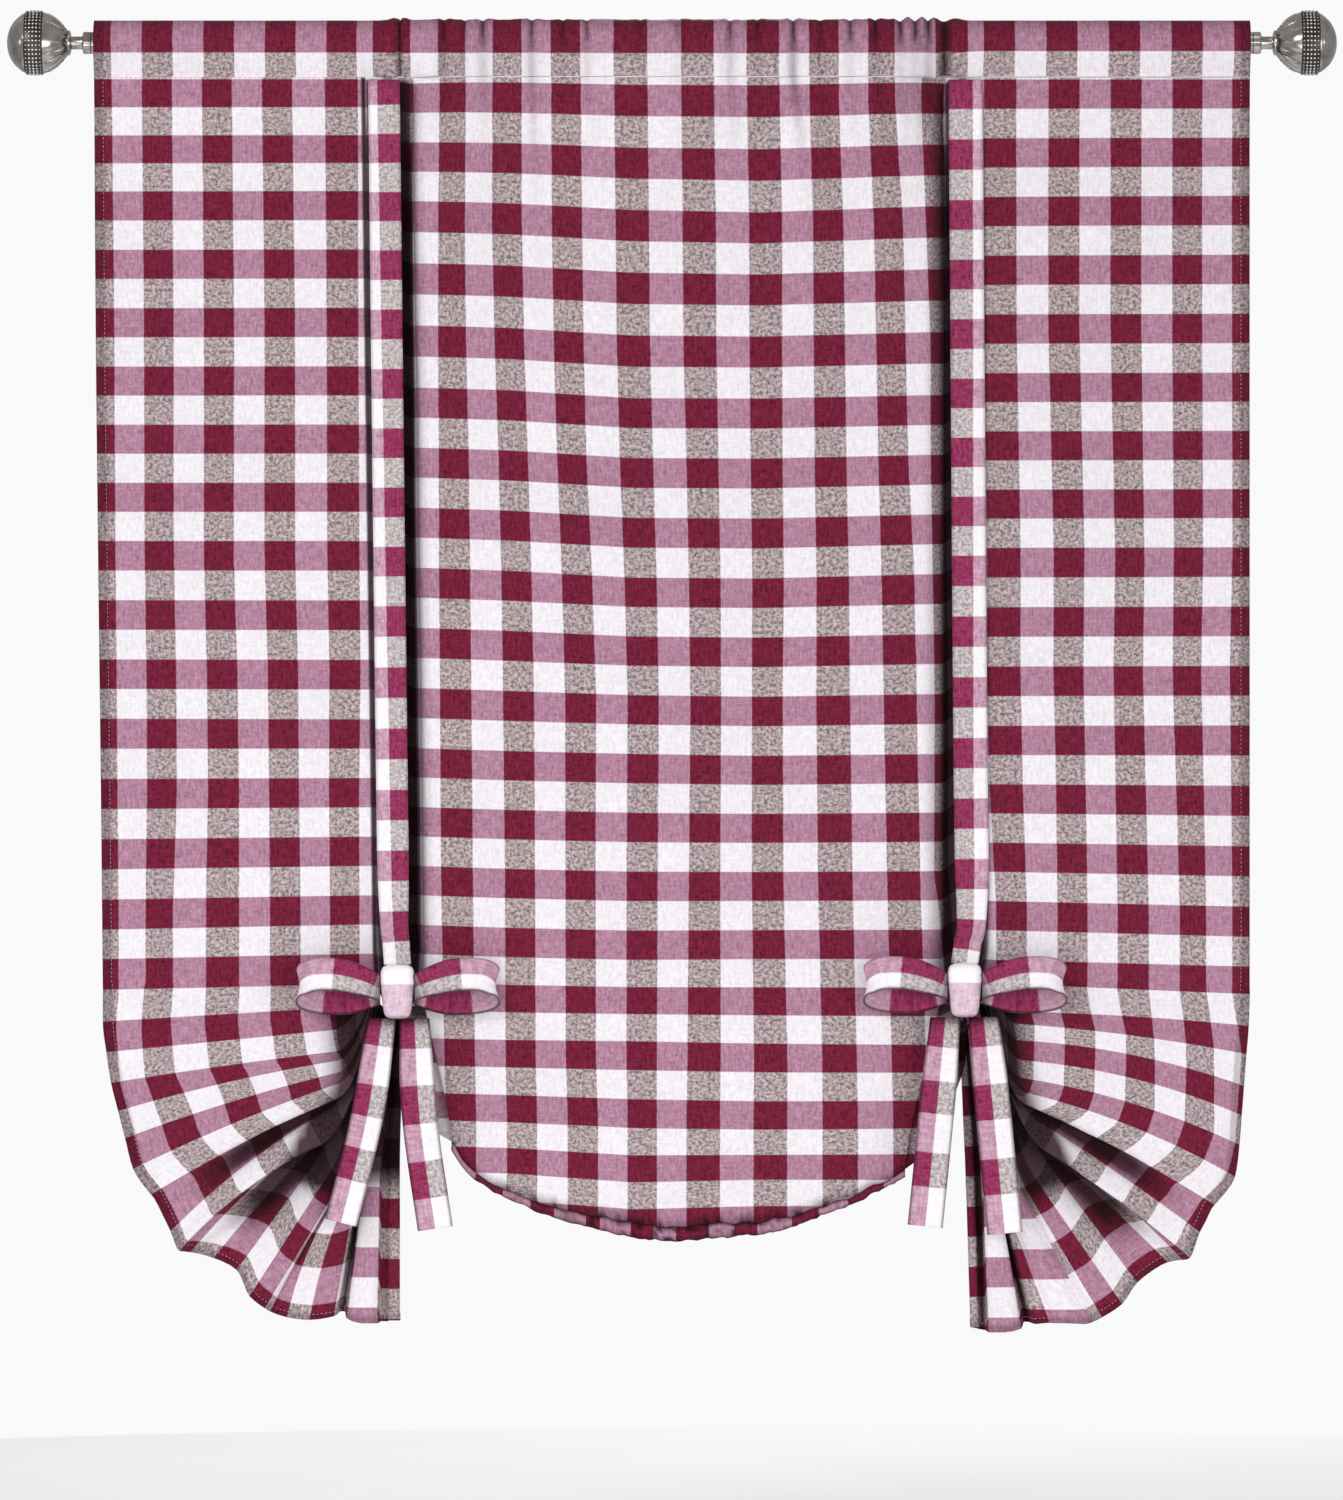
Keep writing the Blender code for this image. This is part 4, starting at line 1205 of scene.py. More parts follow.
    def _tucked(self, left: bool, across: float, start: Vector) -> list[Vector]:
        """Where the channel's cloth goes on below the knot, behind the free ends of the bow."""
        corner = self.scallop[0] if left else self.scallop[-1]
        lip = LIPS["left_centre" if left else "right_centre"][2]
        outer = -228.0 if left else 231.0
        inwards = 1.0 if left else -1.0
        to_centre = across if left else 1.0 - across
        points = []
        for step in range(1, self.tucked_steps + 1):
            down = step / self.tucked_steps
            z = mix(DRAWN_IN_Z, corner[1] + 3.0 + 26.0 * (1.0 - to_centre), down)
            # It overlaps the centre's edge, and on the right it lies further out at first
            edge = mix(lip, corner[0], ease(down) * 0.5 + down * 0.5) + 4.0 * inwards
            drawn = outer if left else mix(251.0, outer, ease((down - 0.45) / 0.5))
            x = mix(mix(start.x, drawn, ease(3.0 * down)), edge, to_centre)
            x = mix(start.x, x, ease(3.0 * down))
            points.append(Vector((x, mix(start.y, 4.5, ease(2.5 * down)), z)))
        return points

    def centre_shares(self) -> list[float]:
        """Where the centre's columns lie: an even spread, and close together at each crease."""
        left, right = LIPS["left_centre"][0], LIPS["right_centre"][0]
        wanted = [
            middle + away * half
            for middle, half, *_ in self.creases for away in (-2.3, -1.1, 0.0, 1.1, 2.3)
        ]
        spots = [left, left + 2.0, left + 4.5, right - 4.5, right - 2.0, right]
        spots += [x for x in wanted if left + 6.0 < x < right - 6.0]
        count = round((right - left) / self.centre_step)
        for index in range(1, count):
            x = mix(left, right, index / count)
            if min(abs(x - spot) for spot in spots) > 2.4:
                spots.append(x)
        return sorted((x - left) / (right - left) for x in spots)

    def centre(self, share: float) -> Column:
        """One column of the centre, with the rolled hem of its scallop."""
        def place_x(z: float) -> float:
            """X of the column at a height."""
            return mix(self.lip_x("left_centre", z), self.lip_x("right_centre", z), share)

        def depth(x: float, z: float) -> float:
            """Depth of the column at a height."""
            return self.centre_relief(x, z, share)

        points, pocket, main = self.upper_part(place_x, depth)
        start = points[-1].copy()
        low_x = mix(self.scallop[0][0], self.scallop[-1][0], share)
        low_z = self.scallop_z(low_x) + 0.9 * rough(low_x / 11.0, 6.0)
        hem = self.scallop_hem[0] + self.scallop_hem[1] * math.sin(math.pi * share) ** 2
        hem *= 1.0 + 0.35 * rough(low_x / 16.0, 9.0)
        for step in range(1, self.scallop_steps + 1):
            down = step / self.scallop_steps
            z = mix(start.z, low_z + hem + 1.0, down)
            x = mix(start.x, low_x, ease(down) * 0.5 + down * 0.5)
            points.append(Vector((x, self.centre_relief(x, z, share), z)))
        front = self.centre_relief(low_x, low_z, share)
        for forward, up in self.scallop_roll:
            points.append(Vector((low_x, front - forward, low_z + hem * up)))
        main += self._cells_at("centre", points[self.pocket_rows:])
        crumpled = rough(low_x / 17.0, 3.0) + 0.5 * rough(low_x / 6.0, 12.0)
        turned = []
        for index, (column, _) in enumerate(main):
            down = (index - self.roll_row) / len(self.scallop_roll)
            row = min(0.94, 0.3 + 0.45 * down + max(0.0, crumpled))
            turned.append((column * 1.2 + 0.5 * crumpled, row))
        return self._column("centre", share, points, pocket, main, turned)

    def columns(self) -> list[Column]:
        """All columns from the left selvedge to the right one."""
        made = [self.panel(LEFT, share) for share in self.panel_shares]
        made += [self.channel(LEFT, index) for index in range(len(self.channel_section))]
        made += [self.centre(share) for share in self.centre_shares()]
        made += [self.channel(RIGHT, index) for index in range(len(self.channel_section))]
        made += [self.panel(RIGHT, share) for share in reversed(self.panel_shares)]
        return made

    def build(self, finishes: Finishes) -> bpy.types.Object:
        """Build the sheet with its hems, gathers and stitching.

        Args:
            finishes: the materials.

        Returns:
            The finished sheet.
        """
        columns = self.columns()
        cells = self._cells(columns)
        normals = self._normals(columns, cells)
        losses = [self._loss(line, row) for line in columns for row in range(len(line.points))]
        for column, outs in zip(columns, normals):
            for row, point in enumerate(column.points):
                column.points[row] = point + outs[row] * self._relief(column, row)
        offsets = np.cumsum([0] + [len(column.points) for column in columns])
        faces, corners = [], []
        for row, column in cells:
            quad = ((row, column), (row + 1, column), (row + 1, column + 1), (row, column + 1))
            lay = self._lay(columns[column].patch, columns[column + 1].patch, row)
            faces.append([int(offsets[j]) + i for i, j in quad])
            corners.append([columns[j].cells[lay][i] for i, j in quad])
        points = [point for column in columns for point in column.points]
        cloth = mesh_piece("hung_cloth", points, faces, corners)
        mark_shade(cloth, losses)
        solid = cloth.modifiers.new("cloth_thickness", "SOLIDIFY")
        solid.thickness = self.thickness * MM
        solid.offset = 0.0
        finishes.dress(cloth, Finish.CLOTH)
        settle(cloth, "checked_cotton", "shade_cloth")
        sewing = self._sew(columns, normals, finishes)
        return cloth

    def _cells(self, columns: list[Column]) -> list[tuple[int, int]]:
        """Which places of the grid hold cloth: the slits beside the bows and the notch don't."""
        found = []
        for index, (here, there) in enumerate(zip(columns, columns[1:])):
            rows = min(len(here.points), len(there.points)) - 1
            if here.patch != there.patch:
                rows = min(rows, self.common_rows - 1)
            found.extend((row, index) for row in range(rows))
        return found

    def _lay(self, patch: str, next_patch: str, row: int) -> Lay:
        """Which lay of the check a face shows."""
        if row < self.pocket_rows - 1:
            return Lay.POCKET
        if patch == next_patch == "centre" and row >= self.roll_row:
            return Lay.PLEAT
        index = row - self.common_rows
        if patch == next_patch and patch in HALVES and index >= 0:
            if self.fans[patch][index][8] >= HALVES[patch].first_pleat:
                return Lay.PLEAT
        return Lay.MAIN

    @staticmethod
    def _normals(columns: list[Column], cells: list[tuple[int, int]]) -> list[list[Vector]]:
        """Direction out of the front of the cloth at each point."""
        outs = [[Vector() for _ in column.points] for column in columns]
        for row, column in cells:
            quad = ((row, column), (row + 1, column), (row + 1, column + 1), (row, column + 1))
            a, b, c, d = (columns[j].points[i] for i, j in quad)
            facing = (c - a).cross(b - d)
            for i, j in quad:
                outs[j][i] -= facing
        for line in outs:
            for out in line:
                out.normalize()
        return outs

    def _in_hem(self, column: Column) -> bool:
        """Whether a column lies where the cloth is turned in at a side edge."""
        return column.patch in HALVES and column.share < self.panel_shares[4]

    def _loss(self, column: Column, row: int) -> float:
        """How much light the cloth loses at a point, before its small relief is added."""
        point = column.points[row]
        in_pocket = row < self.pocket_rows
        loss = 0.0
        if row > self.gather_row and (in_pocket or column.patch == "centre"):
            loss = self.crease(point.x, point.z)[1]
        if column.patch == "channel":
            return loss if in_pocket else self._channel_loss(column, row)
        if self._in_hem(column):
            # Painted shade on the turned-in side hems
            loss += self.hem_loss
        if column.patch == "centre":
            loss = self._centre_loss(column, row, loss)
        elif row >= self.common_rows:
            loss += self._valley_loss(column, row - self.common_rows)
        elif column.patch == "left" and not in_pocket:
            # Painted shade: the dark gap line beside the left strap
            to_lip = self.lip_x("left_panel", point.z) - point.x
            loss += 0.93 * ease((3.9 - to_lip) / 1.7)
        return min(loss, self.darkest)

    def _channel_loss(self, column: Column, row: int) -> float:
        """How much light the spare cloth behind a strap loses, also where it goes on below."""
        point = column.points[row]
        if row < self.common_rows:
            inside = self.channel_loss * ease(column.share * 1.25)
            return inside * ease((STITCH_Z - point.z) / 6.0)
        # Painted shade under the knot and, on the right, beside the fan
        under_knot = mix(0.93, 0.22, ease((-point.z - 812.0) / 34.0))
        beside_right_fan = 0.93 * ease((point.x - 238.0) / 6.0)
        return max(under_knot, beside_right_fan)

    def _centre_loss(self, column: Column, row: int, loss: float) -> float:
        """Add to a loss the light that the centre loses at its two edges and in its rolled hem,
        painted in as shade.
        """
        x, z = column.points[row].x, column.points[row].z
        if row >= self.pocket_rows:
            # The edges turn back out of the light, further on the right
            rolled = ease((STITCH_Z - z) / 10.0)
            at_left = max(0.0, 1.0 - (x - self.lip_x("left_centre", z)) / 8.0)
            at_right = max(0.0, 1.0 - (self.lip_x("right_centre", z) - x) / 15.0)
            loss += 0.75 * rolled * at_left ** 1.5
            loss += mix(0.85, 0.4, ease((-z - 150.0) / 220.0)) * rolled * at_right ** 1.2
        hem_row = row - self.roll_row + 1
        if hem_row >= 0:
            # Painted shade in the crumples of the rolled hem, darkest across its middle
            crumple_shade = max(0.0, rough(x / 8.0, z / 5.0, 14.0)) * math.sin(math.pi * column.share)
            loss = max(loss, self.scallop_losses[hem_row] + 2.2 * crumple_shade)
        return loss

    def _valley_loss(self, column: Column, order: int) -> float:
        """How much light a fan loses in its valleys and towards its bunch."""
        # Painted shade: the bunch is dark from further out at the middle folds, and paler below on
        # the right
        half = HALVES[column.patch]
        row = self.fans[half.name][order][7]
        along = min(1.0, column.share / KNEE_SHARE)
        dark_from = mix(0.9, 0.58 if half is LEFT else 0.64, bump_at(row, 43.4, 2.8)) * KNEE_SHARE
        loss = min(self.darkest, 1.3 * ease((column.share - dark_from) / 0.15))
        if half is RIGHT:
            loss *= 1.0 - 0.75 * ease((row - 46.6) / 1.4)
        for middle, high, start in half.valleys:
            wide = high * mix(0.45, 1.1, along)
            dark = min(1.0, 1.6 * bump_at(row, middle, wide))
            loss = max(loss, self.darkest * dark * ease((along - start) / 0.35))
        return loss

    def _relief(self, column: Column, row: int) -> float:
        """How far the cloth stands off its smooth shape at a point, in small folds and hems."""
        point = column.points[row]
        x, z = point.x, point.z
        if row < self.pocket_rows:
            room = 1.0 + self.pocket_lift(x)
            return max(self.crease(x, z)[0], -room) * ease((row - self.gather_row) / 7.0)
        # Broad unevenness, fine unevenness, and faint folds down the cloth
        height = 0.42 * rough(x / 46.0, z / 90.0) + 0.16 * rough(x / 14.0, z / 24.0, 5.0)
        height += 0.35 * rough(x / 15.0, z / 170.0, 2.0)
        height *= min(1.0, (STITCH_Z - z) / 25.0)
        if column.patch == "centre":
            height += self.crease(x, z)[0]
            if row > self.roll_row:
                # Puckers of the rolled hem
                height += 1.5 * rough((x + 0.6 * z) / 6.0, (z - 0.3 * x) / 9.0, 4.0)
        elif column.patch in HALVES:
            if row >= self.common_rows:
                # Small creases along the fan's folds
                height += 0.5 * rough(row / 3.1, x / 60.0, 1.0)
            height += 0.4 * self._in_hem(column)
        return height

    def _sew(
        self, columns: list[Column], normals: list[list[Vector]], finishes: Finishes
    ) -> list[bpy.types.Object]:
        """Sew the pocket and the side hems."""
        def along_row(row: float, patch: str) -> Seam:
            """A line of sewing along one row of the check, close under the pocket."""
            line = []
            for column, outs in zip(columns, normals):
                if column.patch == patch:
                    near = range(self.pocket_rows, self.pocket_rows + 4)
                    best = min(near, key=lambda i: abs(column.cells[Lay.MAIN][i][1] - row))
                    line.append((column.points[best], outs[best]))
            return line

        first = self.pocket_rows + 1
        pocket = [along_row(1.97, patch) for patch in HALVES]
        hems = [list(zip(columns[i].points, normals[i]))[first:] for i in (3, len(columns) - 4)]
        sewn = []
        for name, runs, size in (
            ("pocket_stitching", pocket, (3.4, 0.8, 0.4)),
            ("side_hem_stitching", hems, (2.4, 1.2, 0.2)),
        ):
            thread = Stitching(name, *size).build(runs, self.thickness / 2.0 + 0.12)
            finishes.dress(thread, Finish.THREAD)
            settle(thread, "checked_cotton")
            sewn.append(thread)
        return sewn


@dataclass
class Band:
    """A strap of folded cotton that is swept along a path."""

    name: str
    path: list[Vector]
    across: list[Vector]
    widths: list[float]
    cell_at: Callable[[float, float, float, Vector], Point]
    relief: Callable[[float, float], float]
    start_along: Optional[Vector] = None
    end_along: Optional[Vector] = None
    thickness: float = 1.5
    section_steps: int = 12
    # Light lost along the long edges, its share on the upper edge, and light lost at the ends
    edge_loss: float = 0.3
    upper_edge: float = 1.0
    start_loss: float = 0.0

    def place(
        self, finishes: Finishes, node: str, flat: Point, rests_on: str, held: str = "hung",
        sewing: str = "", sewn: slice = slice(None), others: Sequence[bpy.types.Object] = (),
    ) -> None:
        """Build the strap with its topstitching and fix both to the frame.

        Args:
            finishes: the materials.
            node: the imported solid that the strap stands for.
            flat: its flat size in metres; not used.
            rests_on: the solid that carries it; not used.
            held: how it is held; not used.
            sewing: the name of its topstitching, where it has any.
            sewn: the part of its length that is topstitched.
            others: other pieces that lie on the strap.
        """
        strap, seams = self.build()
        finishes.dress(strap, Finish.STRAP)
        settle(strap, "strap_cotton", node)
        pieces = list(others)
        if sewing:
            thread = Stitching(sewing).build([seam[sewn] for seam in seams], 0.05)
            finishes.dress(thread, Finish.THREAD)
            settle(thread, "strap_cotton")
            pieces.append(thread)

    def build(self) -> tuple[bpy.types.Object, list[Seam]]:
        """Sweep the strap.

        Returns:
            The strap, and two lines near its long edges on its front for topstitching.
        """
        shares = [
            math.copysign(1.0 - (1.0 - abs(s)) ** 1.5, s)
            for s in (2.0 * i / self.section_steps - 1.0 for i in range(self.section_steps + 1))
        ]
        section = [(s, -1.0) for s in shares] + [(s, 1.0) for s in reversed(shares)]
        points, cells, losses = [], [], []
        seams: list[Seam] = [[], []]
        walked = 0.0
        length = sum((b - a).length for a, b in zip(self.path, self.path[1:]))
        for index, middle in enumerate(self.path):
            side, through = self._axes(index)
            half = self.widths[index] / 2.0
            if index:
                walked += (middle - self.path[index - 1]).length
            for share, face in section:
                edge = math.sqrt(max(0.0, 1.0 - abs(share) ** 7))
                thick = self.thickness / 2.0 * (0.32 + 0.68 * edge)
                offset = self.relief(walked / length, share) + face * thick
                points.append(middle + side * (half * share) + through * offset)
                cells.append(self.cell_at(walked, share * half, face, middle))
                # Painted shade along the long edges, less on the upper one, and near the band's ends
                edge_shade = self.edge_loss * ease((abs(share) - 0.78) / 0.2)
                edge_shade *= 1.0 if share < 0.0 else self.upper_edge
                near = min(walked, length - walked) if self.end_along else walked
                losses.append(min(0.95, edge_shade + self.start_loss * math.exp(-((near / 7.0) ** 2))))
            for seam, place in zip(seams, (-1.0, 1.0)):
                share = place * (1.0 - 2.6 / half)
                offset = self.relief(walked / length, share) - self.thickness / 2.0
                seam.append((middle + side * (half * share) + through * offset, -through))
        faces, corners = self._skin(len(section), cells)
        band = mesh_piece(self.name, points, faces, corners, closed=True)
        mark_shade(band, losses)
        return band, seams

    def _axes(self, index: int) -> tuple[Vector, Vector]:
        """Directions across and through the strap at a point of its path."""
        ahead = self.path[min(index + 1, len(self.path) - 1)] - self.path[max(index - 1, 0)]
        along = ahead.normalized()
        if index == 0 and self.start_along:
            along = self.start_along
        if index == len(self.path) - 1 and self.end_along:
            along = self.end_along
        side = (self.across[index] - along * self.across[index].dot(along)).normalized()
        return side, along.cross(side)

    def _skin(self, ring: int, cells: list[Point]) -> tuple[list[list[int]], list[list[Point]]]:
        """Faces round the strap and over its two ends."""
        faces = []
        for index in range(len(self.path) - 1):
            base = index * ring
            for corner in range(ring):
                a, b = base + corner, base + (corner + 1) % ring
                faces.append([a, b, b + ring, a + ring])
        for base in (0, (len(self.path) - 1) * ring):
            for corner in range(self.section_steps):
                far = ring - 1 - corner
                faces.append([base + corner, base + corner + 1, base + far - 1, base + far])
        return faces, [[cells[i] for i in face] for face in faces]


@dataclass
class Strap:
    """The straps in front of and behind the cloth on one side.

    The edge between two columns lies off the strap's middle by column_edge, at its top and at its
    bow; row_heights holds rows and their z, and slit_x where the back strap comes forward.
    """

    side: str
    top_x: float
    bow_x: float
    width: float
    column_edge: Point
    row_heights: tuple[Point, ...]
    slit_x: float
    first_column: float

    def build(self, finishes: Finishes) -> None:
        """Build both straps, the front one with its topstitching."""
        self._front(finishes)
        self._back(finishes)

    def _cell(self, _walked: float, sideways: float, _face: float, middle: Vector) -> Point:
        down = min(1.0, -middle.z / 780.0)
        edge = mix(self.column_edge[0], self.column_edge[1], down)
        rows, heights = zip(*self.row_heights)
        row = look_up([-z for z in heights], rows, -middle.z)
        return self.first_column + (sideways - edge) / 25.8, row

    def _front(self, finishes: Finishes) -> None:
        """The strap that hangs in front of its channel and ends at the knot."""
        knot_x, knot_z = KNOTS[self.side]
        points = [
            Vector((self.top_x, -2.7, -31.5)),
            Vector((mix(self.top_x, self.bow_x, 0.35), -3.4, -300.0)),
            Vector((mix(self.top_x, self.bow_x, 0.75), -3.6, -590.0)),
            Vector((self.bow_x, -5.0, -735.0)),
            Vector((mix(self.bow_x, knot_x, 0.6), -13.5, -765.0)),
            Vector((knot_x, KNOT_Y, knot_z + 22.8)),
        ]
        path = smooth_path(points, 110)
        widths = [mix(self.width, 23.0, ease((-p.z - 690.0) / 90.0)) for p in path]
        across = [Vector((1, 0, 0))] * len(path)

        def relief(share: float, place: float) -> float:
            """Slight twist and waves, with creases where the strap is drawn into the knot."""
            twist = 0.25 * place * math.sin(share * 11.0)
            wave = 0.35 * rough(share * 9.0, place * 0.7, 11.0) + twist
            drawn = ease((share - 0.93) / 0.07)
            return wave * min(1.0, share * 12.0) + 0.9 * drawn * math.cos(place * 5.0)

        band = Band(
            "front_strap_" + self.side, path, across, widths, self._cell, relief,
            end_along=Vector((0, 0, -1)),
        )
        band.place(
            finishes, "strap_front_" + self.side, (self.width * MM, 0.77), "shade_cloth",
            sewing="strap_stitching_" + self.side, sewn=slice(-6),
        )

    def _back(self, finishes: Finishes) -> None:
        """The strap behind the cloth, which comes forward through the slit to the knot."""
        _, knot_z = KNOTS[self.side]
        clear, behind = 2.8, 23.8
        top, bow, slit = self.top_x, self.bow_x, self.slit_x
        points = [
            Vector((top, clear, -31.5)), Vector((top, clear + 1.6, -46.0)),
            Vector((top, clear + 8.2, -84.0)), Vector((top, clear + 14.8, -122.0)),
            Vector((top, clear + 20.2, -153.0)), Vector((top, behind + 0.4, -190.0)),
            Vector((mix(top, bow, 0.5), behind, -450.0)),
            Vector((mix(top, bow, 0.9), behind, -660.0)),
            Vector((mix(bow, slit, 0.6), behind, -772.0)), Vector((slit, behind - 2.5, -799.0)),
            Vector((slit, 9.0, knot_z - 11.0)), Vector((slit, KNOT_Y + 11.8, knot_z - 11.0)),
        ]
        path = smooth_path(points, 120)
        widths = [mix(self.width - 2.0, 14.0, ease((-p.z - 660.0) / 110.0)) for p in path]
        across = [Vector((1, 0, 0))] * len(path)

        def relief(share: float, place: float) -> float:
            """Slight waves of a strap that hangs free behind the cloth."""
            return 0.3 * rough(share * 8.0, place * 0.7, 17.0) * min(1.0, share * 12.0)

        band = Band(
            "back_strap_" + self.side, path, across, widths, self._cell, relief,
            end_along=Vector((0, -1, 0)),
        )
        flat = ((self.width - 2.0) * MM, 0.84)
        band.place(finishes, "strap_back_" + self.side, flat, "shade_cloth")


@dataclass
class Tail:
    """A free end of a bow: where it starts, hangs and ends, and where its cells end."""

    name: str
    top: Point
    middle: Point
    bottom: Point
    width: float
    ends: tuple[float, ...]


@dataclass
class Bow:
    """The knot, the two loops and the two free ends on one side."""

    side: str
    tails: tuple[Tail, Tail]
    loop_width: float = 28.0
    loop_lean: float = 3.0
    knot_size: Triple = (30.0, 23.0, 45.0)
    # Path of a loop from the front of the knot round to its back: out, depth, up
    loop_path: tuple[Triple, ...] = (
        (0.0, -27.0, 3.0), (14.0, -31.5, 9.0), (32.0, -34.0, 14.0), (50.0, -33.0, 15.0),
        (62.0, -29.0, 12.5), (67.5, -23.0, 6.0), (63.0, -17.0, -2.0), (48.0, -14.5, -5.5),
        (30.0, -14.0, -6.0), (14.0, -14.5, -4.0), (0.0, -16.0, -1.0),
    )
    # Cells along a loop: distance from the knot, column
    loop_cells: tuple[Point, ...] = (
        (0.0, 1.3), (5.5, 1.5), (42.0, 2.5), (104.0, 3.5), (142.0, 4.5), (160.0, 4.9),
    )

    def build(self, finishes: Finishes) -> None:
        """Build every piece of the bow."""
        knot = self._knot(finishes)
        for way in ("left", "right"):
            self._loop(way, finishes, [knot] if way == "left" else [])
        for tail in self.tails:
            self._tail(tail, finishes)

    def _loop(self, way: str, finishes: Finishes, others: list[bpy.types.Object]) -> None:
        """One loop: a band that leaves the knot, turns and comes back behind."""
        knot_x, knot_z = KNOTS[self.side]
        outwards = -1.0 if way == "left" else 1.0
        points = [
            Vector((knot_x + outwards * (14.8 + out), depth, knot_z + up))
            for out, depth, up in self.loop_path
        ]
        path = smooth_path(points, 72)
        across = [Vector((0, self.loop_lean / self.loop_width, 1))] * len(path)
        widths = []
        for index in range(len(path)):
            near = min(index, 72 - index) / 15.0
            widths.append(self.loop_width * mix(0.78, 1.0, ease(near)))
        distances, columns = zip(*self.loop_cells)

        def cell(walked: float, sideways: float, face: float, _middle: Vector) -> Point:
            """Column along the band; burgundy above white outside, mostly burgundy inside."""
            row = 1.0 - sideways / CELL if face * outwards > 0.0 else 0.72 - sideways / 48.0
            return float(np.interp(walked, distances, columns)), row

        def relief(share: float, place: float) -> float:
            """Creases that run out of the knot, and a slight cup across the band."""
            near = math.exp(-min(share, 1.0 - share) / 0.085)
            crease = 1.15 * math.cos(place * 6.3 + 0.7) + 0.5 * math.cos(place * 11.0)
            return near * crease + 0.5 * place * place + 0.25 * rough(share * 6.0, place, 21.0)

        leave = Vector((outwards, 0, 0))
        name = "loop_%s_%s" % (self.side, way)
        band = Band(
            name, path, across, widths, cell, relief, leave, -leave,
            edge_loss=0.95, upper_edge=0.35, start_loss=0.8,
        )
        band.place(
            finishes, "bow_" + name, (self.loop_width * MM, 0.155), "bow_knot_" + self.side,
            held="folded", others=others,
        )

    def _tail(self, tail: Tail, finishes: Finishes) -> None:
        """A free end that hangs in front of the folds."""
        depths = (-17.5, -25.5, -27.5)
        points = [
            Vector((x, y, z)) for (x, z), y in zip((tail.top, tail.middle, tail.bottom), depths)
        ]
        path = smooth_path(points, 44)
        across = []
        for index in range(len(path)):
            ahead = path[min(index + 1, len(path) - 1)] - path[max(index - 1, 0)]
            across.append(Vector((-ahead.z, 0.0, ahead.x)))
        widths = [tail.width * mix(0.86, 1.0, ease(index / 15.0)) for index in range(len(path))]

        places = (0.0, *tail.ends, 2.0 * tail.ends[-1] - tail.ends[-2])
        columns = (-0.4, *(0.5 + k for k in range(len(tail.ends))), 0.5 + len(tail.ends))

        def cell(walked: float, sideways: float, _face: float, _middle: Vector) -> Point:
            """Column along the strap, burgundy on its left and white on its right."""
            return float(np.interp(walked, places, columns)), 1.0 + sideways / CELL

        def relief(share: float, place: float) -> float:
            """A soft lengthwise fold that fades out, and creases under the knot."""
            near = math.exp(-share / 0.1)
            fold = 1.0 * math.cos(place * 2.6) * (1.0 - 0.6 * share)
            return near * 0.8 * math.cos(place * 7.0) + fold + 0.3 * rough(share * 5.0, place, 31.0)

        end = "%s_%s" % (self.side, tail.name)
        band = Band(
            "tail_" + end, path, across, widths, cell, relief,
            start_along=Vector((0, 0, -1)), edge_loss=0.7, start_loss=0.8,
        )
        band.place(
            finishes, "bow_tail_" + end, (tail.width * MM, 0.18), "bow_knot_" + self.side,
            sewing="tail_stitching_" + end, sewn=slice(3, -1),
        )

    def _knot(self, finishes: Finishes) -> bpy.types.Object:
        """The wrapped middle of the bow: broad above, drawn in below, with soft pleats along it."""
        knot_x, knot_z = KNOTS[self.side]
        wide, deep, tall = self.knot_size
        rings, around, squareness = 30, 56, 0.62
        points, cells, losses = [], [], []
        for ring in range(rings + 1):
            down = ring / rings
            end = abs(2.0 * down - 1.0)
            close = max((1.0 - end ** 5) ** 0.5, 0.02)
            waist = mix(1.0, 0.82, ease(down * 1.15)) * (0.6 + 0.4 * close)
            for step in range(around):
                turn = math.tau * step / around
                c, s = math.cos(turn), math.sin(turn)
                x = math.copysign(abs(c) ** squareness, c) * wide / 2.0 * waist
                y = math.copysign(abs(s) ** squareness, s) * deep / 2.0 * (0.35 + 0.65 * close)
                front = max(0.0, -s)
                pleat = 0.55 * math.cos(x * 0.62 + 1.0) + 0.35 * rough(x / 3.0, down * 2.0, 41.0)
                y -= front * pleat * (1.0 - end ** 3)
                bulge = 1.0 + 0.03 * math.sin(math.pi * down)
                z = tall / 2.0 * (1.0 - 2.0 * down) + 1.1 * front * math.cos(x / 8.0) * (0.5 - down)
                points.append(Vector((knot_x + x * bulge, KNOT_Y + y, knot_z + z)))
                cells.append((0.62 + (x / wide + 0.5) * 0.86, 2.0 + (down - 0.36) * 1.45))
                # Painted shade down the knot's two sides and along its lower end
                losses.append(0.8 * ease((abs(c) - 0.9) / 0.1) + 0.6 * ease((down - 0.93) / 0.07))
        faces = []
        for ring in range(rings):
            for step in range(around):
                after = (step + 1) % around
                a, b = ring * around + step, ring * around + after
                faces.append([a, b, b + around, a + around])
        for base in (0, rings * around):
            faces.append([base + step for step in range(around)])
        corners = [[cells[i] for i in face] for face in faces]
        knot = mesh_piece("knot_" + self.side, points, faces, corners, closed=True)
        mark_shade(knot, losses)
        finishes.dress(knot, Finish.KNOT)
        settle(knot, "strap_cotton", "bow_knot_" + self.side)
        return knot


def deselect() -> None:
    """Leave edit mode and select nothing."""
    if bpy.context.object and bpy.context.object.mode != "OBJECT":
        bpy.ops.object.mode_set(mode="OBJECT")
    bpy.ops.object.select_all(action="DESELECT")


